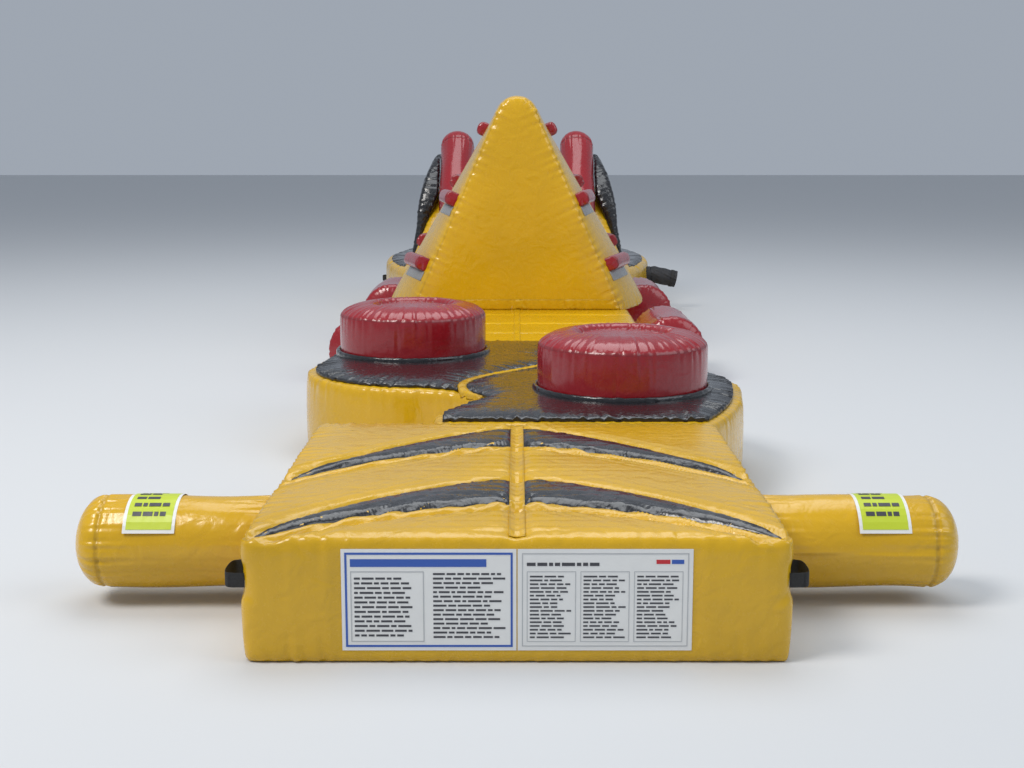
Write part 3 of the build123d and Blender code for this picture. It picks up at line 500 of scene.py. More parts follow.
def vinyl_group():
    """Coated fabric: soft creases and fine cloth grain as bump, scuffs in the roughness, a
    little fade in the colour, and along each welded seam a duller band whose darkening is painted shade in the seam's
    crease."""
    group, into, out = node_group(
        "Vinyl", [("Colour", "c"), ("Painted seam shade", "f"), ("Crease", "f")],
        [("Colour", "c"), ("Roughness", "f"), ("Height", "f")])
    place = add_node(group, "ShaderNodeTexCoord").outputs["Object"]
    broad = add_node(group, "ShaderNodeTexNoise", Vector=place, Scale=1.7, Detail=3.0).outputs["Fac"]
    crease = add_node(group, "ShaderNodeTexNoise", Vector=place, Scale=9.0, Detail=4.0, Distortion=1.6,
                      Roughness=0.45).outputs["Fac"]
    grain = add_node(group, "ShaderNodeTexNoise", Vector=place, Scale=420.0, Detail=2.0).outputs["Fac"]
    scuff = add_node(group, "ShaderNodeTexNoise", Vector=place, Scale=38.0, Detail=6.0, Roughness=0.7).outputs["Fac"]
    seam = add_node(group, "ShaderNodeAttribute", settings={"attribute_name": "seam"}).outputs["Fac"]
    band_on = add_node(group, "ShaderNodeMapRange", Value=seam, From_Min=0.35, From_Max=0.6).outputs["Result"]
    shade = add_node(group, "ShaderNodeMapRange", Value=broad, From_Min=0.3, From_Max=0.7, To_Min=0.90,
                     To_Max=1.06).outputs["Result"]
    # painted shade: the colour is darkened in a band along each seam's crease
    painted_shade = add_node(group, "ShaderNodeMath", settings={"operation": "MULTIPLY"}, i0=band_on,
                    i1=into.outputs["Painted seam shade"]).outputs[0]
    value = add_node(group, "ShaderNodeMath", settings={"operation": "SUBTRACT"}, i0=shade, i1=painted_shade).outputs[0]
    tinted = add_node(group, "ShaderNodeVectorMath", settings={"operation": "SCALE"}, i0=into.outputs["Colour"],
                      Scale=value).outputs[0]
    group.links.new(tinted, out.inputs["Colour"])
    rough = add_node(group, "ShaderNodeMapRange", Value=scuff, From_Min=0.35, From_Max=0.75, To_Min=0.16,
                     To_Max=0.36).outputs["Result"]
    rough = add_node(group, "ShaderNodeMath", settings={"operation": "MULTIPLY_ADD"}, i0=band_on, i1=0.12,
                     i2=rough).outputs[0]
    group.links.new(rough, out.inputs["Roughness"])
    soft = add_node(group, "ShaderNodeMath", settings={"operation": "MULTIPLY"}, i0=crease,
                    i1=into.outputs["Crease"]).outputs[0]
    fine = add_node(group, "ShaderNodeMath", settings={"operation": "MULTIPLY_ADD"}, i0=grain, i1=0.00012,
                    i2=soft).outputs[0]
    group.links.new(fine, out.inputs["Height"])
    return group


def weave_group():
    """Narrow woven fabric: crossing rows as bump and a slight thread-to-thread colour change."""
    group, into, out = node_group(
        "Weave", [("Colour", "c"), ("Scale", "f")], [("Colour", "c"), ("Height", "f")])
    place = add_node(group, "ShaderNodeTexCoord").outputs["Object"]
    heights = []
    for way in ("X", "Y", "Z"):
        wave = add_node(group, "ShaderNodeTexWave", Vector=place, Scale=into.outputs["Scale"],
                        settings={"wave_type": "BANDS", "bands_direction": way}).outputs["Fac"]
        heights.append(wave)
    both = add_node(group, "ShaderNodeMath", settings={"operation": "MULTIPLY"}, i0=heights[0], i1=heights[2]).outputs[0]
    both = add_node(group, "ShaderNodeMath", settings={"operation": "ADD"}, i0=both, i1=heights[1]).outputs[0]
    thread = add_node(group, "ShaderNodeTexNoise", Vector=place, Scale=160.0, Detail=2.0).outputs["Fac"]
    shade = add_node(group, "ShaderNodeMapRange", Value=thread, From_Min=0.3, From_Max=0.7, To_Min=0.7, To_Max=1.35).outputs["Result"]
    tinted = add_node(group, "ShaderNodeVectorMath", settings={"operation": "SCALE"}, i0=into.outputs["Colour"],
                      Scale=shade).outputs[0]
    group.links.new(tinted, out.inputs["Colour"])
    group.links.new(both, out.inputs["Height"])
    return group


def base_material(name):
    """A material with one Principled node, its tree and that node."""
    material = bpy.data.materials.new(name)
    material.use_nodes = True
    tree = material.node_tree
    return material, tree, tree.nodes["Principled BSDF"]


def vinyl(name, colour, group, painted_seam_shade=0.22, crease=0.004, coat=0.25, sheen=0.5):
    """One colour of glossy coated fabric."""
    material, tree, shader = base_material(name)
    made = add_node(tree, "ShaderNodeGroup", settings={"node_tree": group})
    made.inputs["Colour"].default_value = (*colour, 1)
    # strength of the painted shade along the seams' creases
    made.inputs["Painted seam shade"].default_value = painted_seam_shade
    made.inputs["Crease"].default_value = crease
    bump = add_node(tree, "ShaderNodeBump", Height=made.outputs["Height"], Strength=0.9, Distance=1.0)
    tree.links.new(made.outputs["Colour"], shader.inputs["Base Color"])
    tree.links.new(made.outputs["Roughness"], shader.inputs["Roughness"])
    tree.links.new(bump.outputs["Normal"], shader.inputs["Normal"])
    shader.inputs["Coat Weight"].default_value = coat
    shader.inputs["Coat Roughness"].default_value = 0.12
    shader.inputs["Specular IOR Level"].default_value = sheen
    return material


def woven(name, colour, group, scale, depth=0.0004, roughness=0.8):
    """One colour of woven fabric."""
    material, tree, shader = base_material(name)
    made = add_node(tree, "ShaderNodeGroup", settings={"node_tree": group})
    made.inputs["Colour"].default_value = (*colour, 1)
    made.inputs["Scale"].default_value = scale
    bump = add_node(tree, "ShaderNodeBump", Height=made.outputs["Height"], Strength=0.8, Distance=depth)
    tree.links.new(made.outputs["Colour"], shader.inputs["Base Color"])
    tree.links.new(bump.outputs["Normal"], shader.inputs["Normal"])
    shader.inputs["Roughness"].default_value = roughness
    return material


def inked(name, roughness=0.35):
    """Printed card: the colour of each patch comes from the mesh's ink attribute."""
    material, tree, shader = base_material(name)
    ink = add_node(tree, "ShaderNodeAttribute", settings={"attribute_name": "ink"})
    place = add_node(tree, "ShaderNodeTexCoord").outputs["Object"]
    wave = add_node(tree, "ShaderNodeTexNoise", Vector=place, Scale=6.0, Detail=3.0).outputs["Fac"]
    bump = add_node(tree, "ShaderNodeBump", Height=wave, Strength=0.6, Distance=0.01)
    tree.links.new(ink.outputs["Color"], shader.inputs["Base Color"])
    tree.links.new(bump.outputs["Normal"], shader.inputs["Normal"])
    shader.inputs["Roughness"].default_value = roughness
    return material


def metal(name):
    """Plated zip metal with fine brushing."""
    material, tree, shader = base_material(name)
    place = add_node(tree, "ShaderNodeTexCoord").outputs["Object"]
    fine = add_node(tree, "ShaderNodeTexNoise", Vector=place, Scale=900.0, Detail=3.0).outputs["Fac"]
    rough = add_node(tree, "ShaderNodeMapRange", Value=fine, To_Min=0.22, To_Max=0.42).outputs["Result"]
    tree.links.new(rough, shader.inputs["Roughness"])
    shader.inputs["Base Color"].default_value = (0.62, 0.62, 0.64, 1)
    shader.inputs["Metallic"].default_value = 1.0
    return material


PAINT = {}


def paints():
    """The scene's materials by slot, made once."""
    if PAINT:
        return PAINT
    skin, weave = vinyl_group(), weave_group()
    # the fourth number of each vinyl is the strength of its painted shade along the seams' creases
    PAINT["yellow_pvc"] = vinyl("yellow_vinyl", (0.66, 0.38, 0.004), skin, 0.16, 0.007, coat=0.25)
    PAINT["black_pvc"] = vinyl("black_vinyl", (0.010, 0.010, 0.012), skin, 0.1, 0.010, 0.5)
    PAINT["red_pvc"] = vinyl("red_vinyl", (0.30, 0.008, 0.014), skin, 0.25, 0.004, 0.45)
    PAINT["grey_patch"] = vinyl("grey_patch", (0.30, 0.30, 0.29), skin, 0.0, 0.0015, 0.0)
    PAINT["card"] = inked("printed_card")
    PAINT["sleeve_fabric"] = woven("sleeve_cloth", (0.020, 0.020, 0.023), weave, 260.0, roughness=0.6)
    PAINT["webbing"] = woven("webbing", (0.022, 0.022, 0.022), weave, 140.0)
    PAINT["inner_web"] = woven("inner_web", (0.55, 0.53, 0.46), weave, 200.0)
    PAINT["zip_tape"] = woven("zip_tape", (0.03, 0.03, 0.034), weave, 240.0)
    PAINT["zip_metal"] = metal("zip_metal")
    return PAINT


# ------------------------------------------------------------------ pieces
def arc_through(a, b, c):
    """Coefficients of the parabola y(x) through three points."""
    return np.polyfit([a[0], b[0], c[0]], [a[1], b[1], c[1]], 2)


STRIP_EDGE = 0.0278
MAT_CURVES = [  # the curved seams of the entry mat: behind the front panel, against |x|
    arc_through((STRIP_EDGE, 0.450), (0.449, 0.3085), (0.87, 0.035)),
    arc_through((STRIP_EDGE, 0.806), (0.449, 0.5555), (0.87, 0.085)),
    arc_through((STRIP_EDGE, 1.422), (0.449, 1.197), (0.87, 0.840)),
    arc_through((STRIP_EDGE, 1.768), (0.449, 1.438), (0.87, 0.888)),
    arc_through((STRIP_EDGE, 0.365), (0.449, 0.225), (0.80, 0.02)),
    arc_through((STRIP_EDGE, 1.337), (0.449, 1.112), (0.87, 0.755)),
]


def mat_quilt(co, no):
    """Push and seam mark of the entry mat's quilted top.

    Each curved seam sinks by quilt * exp(-(d / 18 mm)^2) and is puckered along it. The centre
    strip draws in folds that die away over 0.14 m.
    """
    fabric = bpy.context.scene.course_fabric
    x, y = np.abs(co[:, 0]), co[:, 1] - front_y()
    top = smooth_step(0.6, 0.9, no[:, 2])
    push, line, nearest = np.zeros(len(co)), np.zeros(len(co)), np.full(len(co), 1.0)
    for curve in MAT_CURVES:
        slope = np.polyval(np.polyder(curve), x)
        d = np.abs(y - np.polyval(curve, x)) / np.sqrt(1 + slope**2)
        nearest = np.minimum(nearest, d)
        push -= 1.3 * fabric.quilt * np.exp(-((d / 0.018) ** 2))
        push += 1.2 * fabric.pucker * np.exp(-d / 0.07) * ripple(x + y, 0.058)
        line = np.maximum(line, np.exp(-((d / 0.006) ** 2)))
    push += 0.010 * (1 - np.exp(-nearest / 0.07))
    push -= 1.1 * fabric.quilt * np.exp(-((x / 0.032) ** 2))
    push += 1.5 * fabric.pucker * np.exp(-x / 0.16) * ripple(y, 0.066)
    return push * top, line * top


def cross_quilt(pitch, depth=1.0):
    """A field of straight seams across a mat, pitch apart, with puckers along them."""
    def field(co, no):
        fabric = bpy.context.scene.course_fabric
        top = smooth_step(0.6, 0.9, no[:, 2])
        y = co[:, 1] - front_y()
        d = np.abs((y + pitch / 2) % pitch - pitch / 2)
        push = -depth * fabric.quilt * np.exp(-((d / 0.022) ** 2))
        push += 0.8 * fabric.pucker * np.exp(-d / 0.07) * ripple(co[:, 0], 0.061)
        return push * top, np.exp(-((d / 0.006) ** 2)) * top
    return field


def calm_boxes(boxes, soft=0.05):
    """A factor that fades from 1 to 0 inside each (low, high) box, over the soft distance."""
    def calm(co):
        keep = np.ones(len(co))
        for low, high in boxes:
            out = np.maximum(np.maximum(np.array(low) - co, co - np.array(high)), 0).max(1)
            keep *= smooth_step(0, soft, out)
        return keep
    return calm


def near(node, margin=0.03):
    """A CAD node's box, grown by margin."""
    lo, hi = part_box(node)
    return [v - margin for v in lo], [v + margin for v in hi]


def drum(node, slot_paint):
    """A drum: barrel side, scalloped top seam, crowned and dished top.

    The top's height is seam_z + crown * (1 - (r / R)^5) less the dish, with folds
    that run inwards from the seam and outwards from the dish's ring.
    """
    fabric = bpy.context.scene.course_fabric
    lo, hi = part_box(node)
    centre, height, radius = (lo + hi) / 2, hi.z - lo.z, (hi.x - lo.x) / 2
    seam_z, dish_r, dish = height - 0.075, 0.215, 0.026
    turn = np.linspace(0, math.tau, 300, endpoint=False)
    rows = [(t * radius * 0.985, 0.0, 0) for t in np.linspace(0, 1, 6)]
    for t in np.linspace(0, 1, 46)[1:]:
        rows.append((radius * (0.985 + 0.015 * math.sin(math.pi * t) ** 0.5), seam_z * t, 1))
    for t in np.linspace(0, 1, 92)[1:]:
        rows.append((radius * 0.985 * (1 - t), seam_z, 2))
    base_r, base_z, kind = (np.array(v, float)[:, None] for v in zip(*rows))
    wave = ripple(turn * radius, 0.075)[None, :]
    fold = ripple(turn * radius + 1.9, 0.052)[None, :]
    share = np.clip(base_r / (radius * 0.985), 0, 1)
    top = (kind == 2).astype(float)
    edge = np.exp(-(radius * 0.985 - base_r) / 0.085)
    rise = 0.072 * (1 - share**5) ** 0.8
    ring = np.abs(base_r - dish_r)
    rise = rise - dish * smooth_step(0.05, -0.02, base_r - dish_r) - 0.010 * np.exp(-((ring / 0.012) ** 2))
    rise = rise + fabric.pucker * (1.5 * edge * fold + 1.0 * np.exp(-ring / 0.05) * wave) * (share > 0.05)
    side = (kind == 1) * np.exp(-np.abs(base_z - seam_z) / 0.07)
    r = base_r + fabric.pucker * side * fold + 0.004 * wave * np.exp(-np.abs(base_z - seam_z) / 0.02) * (kind > 0) * (share > 0.97)
    off = np.abs((turn - math.radians(262) + math.pi) % math.tau - math.pi)[None, :] * radius
    r = r - 0.005 * (kind == 1) * np.exp(-((off / 0.007) ** 2))
    z = base_z + top * rise
    points = np.stack([centre.x + r * np.cos(turn), centre.y + r * np.sin(turn), lo.z + z], -1)
    mesh = grid_mesh(node + "_puffed", points, wrap_v=True)
    co, _ = arrays(mesh)
    rr = np.hypot(co[:, 0] - centre.x, co[:, 1] - centre.y)
    hem = np.exp(-(((rr - radius * 0.985) / 0.010) ** 2)) * np.exp(-(((co[:, 2] - lo.z - seam_z) / 0.010) ** 2))
    mark(mesh, "seam", np.maximum(hem, np.exp(-(((rr - dish_r) / 0.007) ** 2)) * (co[:, 2] > lo.z + seam_z)))
    piece = new_object(node + "_air", mesh, slot_paint)
    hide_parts(node)
    return piece


def drum_ring(node, paint):
    """The padded black ring round a drum's foot: a rounded section swept round, lightly puckered."""
    lo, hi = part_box(node)
    centre, outer = (lo + hi) / 2, (hi.x - lo.x) / 2
    half_w, half_h = 0.013, (hi.z - lo.z) / 2
    turn = np.linspace(0, math.tau, 320, endpoint=False)[:, None]
    phi = np.linspace(0, math.tau, 28, endpoint=False)[None, :]
    swell = 1 + 0.10 * ripple(turn * outer, 0.08)
    r = outer - half_w + half_w * np.sign(np.cos(phi)) * np.abs(np.cos(phi)) ** 0.7 * swell
    z = centre.z + half_h * np.sign(np.sin(phi)) * np.abs(np.sin(phi)) ** 0.7 * swell
    points = np.stack([centre.x + r * np.cos(turn), centre.y + r * np.sin(turn), z], -1)
    piece = new_object(node + "_air", grid_mesh(node + "_ring", points, True, True), paint)
    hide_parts(node)
    return piece


def printed(name, rects, place, step=0.03):
    """A printed panel: rects of (u0, v0, u1, v1, layer, colour), each a thin closed plate.

    place(u, v, h) gives the point h above the surface; a plate of layer k fills heights from
    k to k + 1 layers of 0.9 mm.
    """
    points, faces, inks = [], [], []
    for u0, v0, u1, v1, layer, colour in rects:
        nu, nv = (max(2, int(abs(b - a) / step) + 2) for a, b in ((u0, u1), (v0, v1)))
        base = len(points)
        for h in (layer * 0.0009, (layer + 1) * 0.0009):
            for u in np.linspace(u0, u1, nu):
                points += [place(u, v, h) for v in np.linspace(v0, v1, nv)]
        at = lambda k, i, j: base + (k * nu + i) * nv + j
        made = []
        for i in range(nu - 1):
            for j in range(nv - 1):
                made.append((at(1, i, j), at(1, i + 1, j), at(1, i + 1, j + 1), at(1, i, j + 1)))
                made.append((at(0, i, j), at(0, i, j + 1), at(0, i + 1, j + 1), at(0, i + 1, j)))
            made.append((at(0, i, 0), at(0, i + 1, 0), at(1, i + 1, 0), at(1, i, 0)))
            made.append((at(0, i, nv - 1), at(1, i, nv - 1), at(1, i + 1, nv - 1), at(0, i + 1, nv - 1)))
        for j in range(nv - 1):
            made.append((at(0, 0, j), at(1, 0, j), at(1, 0, j + 1), at(0, 0, j + 1)))
            made.append((at(0, nu - 1, j), at(0, nu - 1, j + 1), at(1, nu - 1, j + 1), at(1, nu - 1, j)))
        faces += made
        inks += [colour] * (4 * len(made))
    mesh = bpy.data.meshes.new(name)
    mesh.from_pydata(points, [], faces)
    ink = mesh.color_attributes.new("ink", "FLOAT_COLOR", "CORNER")
    ink.data.foreach_set("color", np.array([(*c, 1) for c in inks], np.float32).ravel())
    bm = bmesh.new()
    bm.from_mesh(mesh)
    bmesh.ops.recalc_face_normals(bm, faces=bm.faces)
    bm.to_mesh(mesh)
    bm.free()
    piece = new_object(name, mesh, paints()["card"])
    mesh.shade_flat()
    return piece


WHITE, BLUE, GREY, INK, LIME, RED = (
    (0.78, 0.78, 0.76), (0.03, 0.10, 0.42), (0.45, 0.46, 0.47), (0.05, 0.05, 0.06), (0.52, 0.62, 0.03),
    (0.55, 0.02, 0.03),
)


def frame_bars(u0, v0, u1, v1, wide, colour):
    """Four bars round a rectangle, on layer 1."""
    return [
        (u0, v0, u1, v0 + wide, 1, colour), (u0, v1 - wide, u1, v1, 1, colour),
        (u0, v0 + wide, u0 + wide, v1 - wide, 1, colour), (u1 - wide, v0 + wide, u1, v1 - wide, 1, colour),
    ]


def text_bars(u0, v0, u1, v1, lines, colour, seed):
    """Rows of blank bars where a card has lines of text: no letters, only their weight."""
    rng = np.random.default_rng(seed)
    bars, pitch = [], (v1 - v0) / lines
    for k in range(lines):
        u, v = u0, v1 - (k + 0.8) * pitch
        stop = u0 + (u1 - u0) * rng.uniform(0.7, 1.0)
        while u < stop - 0.012:
            word = min(rng.uniform(0.012, 0.045), stop - u)
            bars.append((u, v, u + word, v + pitch * 0.42, 1, colour))
            u += word + 0.006
    return bars


def make_entry():
    """Entry mat, its stripes and strip, the cards, and the stabiliser tubes with their labels."""
    paint = paints()
    calm = calm_boxes([near("zip_slider_mat", 0.02), ((0.88, front_y() + 1.02, 0.16), (0.95, front_y() + 1.54, 0.26)),
                       near("handle_front_left", 0.01), near("handle_front_right", 0.01),
                       near("care_cards", 0.002)])
    mat = inflate("entry_mat", paint["yellow_pvc"], cell=0.0125, field=mat_quilt, calm=calm)
    for node in ("mat_stripes_front", "mat_stripes_rear"):
        dressed(node, ["entry_mat"], paint["black_pvc"], crown=0.004, pucker=0.002, lift=0.0012, cut=0.022)
    dressed("mat_centre_strip", ["entry_mat"], paint["yellow_pvc"], lift=0.0012, cut=0.022)

    tree = surface_tree([mat])
    lo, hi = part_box("care_cards")

    def on_front(u, v, h):
        hit = tree.ray_cast(Vector((u, lo.y - 0.1, v)), Vector((0, 1, 0)), 0.3)[0]
        return (u, (hit.y if hit else lo.y + 0.003) - 0.0010 - h, v)

    left, right, low, high = lo.x, hi.x, lo.z, hi.z
    split = 0.002
    rects = [(left, low, -split, high, 0, WHITE), (split, low, right, high, 0, WHITE)]
    rects += frame_bars(left + 0.012, low + 0.012, -split - 0.012, high - 0.012, 0.007, BLUE)
    rects += frame_bars(left + 0.030, low + 0.030, left + 0.27, high - 0.075, 0.003, GREY)
    rects += [(left + 0.030, high - 0.060, -0.10, high - 0.034, 1, BLUE)]
    rects += text_bars(left + 0.042, low + 0.045, left + 0.255, high - 0.09, 13, INK, 3)
    rects += text_bars(left + 0.30, low + 0.040, -0.035, high - 0.075, 15, INK, 5)
    rects += frame_bars(split + 0.014, low + 0.014, right - 0.014, high - 0.014, 0.003, GREY)
    for k in range(3):
        u = split + 0.030 + k * 0.175
        rects += frame_bars(u, low + 0.03, u + 0.160, high - 0.075, 0.002, GREY)
        rects += text_bars(u + 0.010, low + 0.04, u + 0.150, high - 0.085, 17, INK, 7 + k)
    rects += text_bars(split + 0.030, high - 0.062, split + 0.35, high - 0.036, 1, INK, 11)
    rects += [(right - 0.12, high - 0.05, right - 0.075, high - 0.036, 1, RED),
              (right - 0.07, high - 0.05, right - 0.030, high - 0.036, 1, BLUE)]
    cards = printed("care_cards_print", rects, on_front)
    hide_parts("care_cards")

    for count, side in enumerate(SIDES):
        lo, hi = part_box(f"stabiliser_{side}")
        sign = -1 if side == "left" else 1
        start = (hi.x if sign < 0 else lo.x, (lo.y + hi.y) / 2, (lo.z + hi.z) / 2)
        air_tube(f"stabiliser_{side}_air", f"stabiliser_{side}", start, (sign, 0, 0), hi.x - lo.x,
                 (hi.z - lo.z) / 2, (0, 0.11), paint["yellow_pvc"], count=count)
    lo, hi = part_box("stabiliser_labels")
    tube_lo, tube_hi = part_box("stabiliser_left")
    axis_y, axis_z = (tube_lo.y + tube_hi.y) / 2, (tube_lo.z + tube_hi.z) / 2
    radius = (tube_hi.z - tube_lo.z) / 2 + 0.0045
    for side, u0 in (("left", lo.x), ("right", hi.x - 0.19)):
        def round_tube(u, v, h):
            turn = v / radius
            return (u, axis_y - (radius + h) * math.sin(turn), axis_z + (radius + h) * math.cos(turn))
        low, high = -0.17, 0.20
        rects = [(u0, low, u0 + 0.19, high, 0, WHITE), (u0 + 0.012, low + 0.014, u0 + 0.178, high - 0.014, 1, LIME)]
        rects += [(u, v, u2, v2, 2, c) for u, v, u2, v2, _, c in
                  text_bars(u0 + 0.03, low + 0.05, u0 + 0.16, high - 0.05, 6, INK, 21)]
        label = printed(f"stabiliser_label_{side}", rects, round_tube)
        if side == "left":
            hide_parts("stabiliser_labels")


def make_bollards():
    """Platform with black quilted tops, divider, drums, rings and join tabs."""
    paint = paints()
    inflate("bollard_base", paint["yellow_pvc"], cell=0.015)
    for node in ("bollard_top_near", "bollard_top_far"):
        dressed(node, ["bollard_base"], paint["black_pvc"], crown=0.020, pucker=0.013, cut=0.022)
    dressed("base_divider", ["bollard_base"], paint["yellow_pvc"], crown=0.006, pucker=0.003, cut=0.02)
    for place in ("near", "far"):
        drum(f"drum_{place}", paint["red_pvc"])
        drum_ring(f"drum_ring_{place}", paint["black_pvc"])
    dressed("ring_join_tabs", ["drum_ring_near", "drum_ring_far"], paint["grey_patch"], cut=0.012)


def make_climb():
    """Base mat, climbing fin with its skirt, straps, hand-hold blocks and patches, and the buoys."""
    paint = paints()
    calm = calm_boxes([((-0.90, front_y() + 6.42, 0.16), (-0.83, front_y() + 6.98, 0.26))])
    inflate("course_base", paint["yellow_pvc"], cell=0.017, field=cross_quilt(0.492), calm=calm)
    dressed("course_centre_strip", ["course_base"], paint["yellow_pvc"], cut=0.03)
    inflate("fin", paint["yellow_pvc"], cell=0.014, pucker=1.5, puff=1.6, rounding=5)
    dressed("fin_skirt", ["fin"], paint["yellow_pvc"], crown=0.002, pucker=0.004, cut=0.025)
    dressed("hem_straps", ["course_base"], paint["yellow_pvc"], cut=0.02)
    for level in ("low", "mid", "top"):
        for side in SIDES:
            inflate(f"blocks_{level}_{side}", paint["red_pvc"], cell=0.0085, puff=0.5, pucker=0.55,
                    rounding=8)
    dressed("grip_patches", ["fin"], paint["grey_patch"], lift=0.002, cut=0.02)
    count = 3
    for place in ("front", "rear"):
        for side in SIDES:
            node = f"buoy_{place}_{side}"
            lo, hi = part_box(node)
            start = ((lo.x + hi.x) / 2, lo.y, (lo.z + hi.z) / 2)
            air_tube(node + "_air", node, start, (0, 1, 0), hi.y - lo.y, (hi.z - lo.z) / 2, (0.07, 0.07),
                     paint["red_pvc"], folds=30, count=count)
            count += 1


def make_tower():
    """Tower base and body, side walls, rails, slide bed and the black wing panels."""
    paint = paints()
    inflate("tower_base", paint["yellow_pvc"], cell=0.022, field=cross_quilt(0.488),
            calm=calm_boxes([near("handle_rear_left", 0.05), near("handle_rear_right", 0.05),
                             near("sleeve_collar", 0.05), near("blower_sleeve", 0.02)]))
    for side in SIDES:
        dressed(f"tower_top_{side}", ["tower_base"], paint["black_pvc"], crown=0.010, pucker=0.006, cut=0.03)
    inflate("tower_body", paint["yellow_pvc"], cell=0.018, pucker=1.2)
    inflate("slide_bed", paint["yellow_pvc"], cell=0.015)
    for side in SIDES:
        inflate(f"tower_wall_{side}", paint["black_pvc"], cell=0.015, pucker=1.5)
    lo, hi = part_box("tower_rail_left")
    climb = math.atan2(1.180 - 0.5003, 0.650)
    radius = (hi.x - lo.x) / 2
    for count, side in enumerate(SIDES):
        lo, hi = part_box(f"tower_rail_{side}")
        along = (0, math.cos(climb), math.sin(climb))
        start = ((lo.x + hi.x) / 2, front_y() + 9.5 - (radius + 0.0003) * math.sin(climb) + 0.06 * math.cos(climb),
                 0.5003 + (radius + 0.0003) * math.cos(climb) + 0.06 * math.sin(climb))
        air_tube(f"tower_rail_{side}_air", f"tower_rail_{side}", start, along, 1.5, radius, (0, radius),
                 paint["red_pvc"], folds=22, count=7 + count)


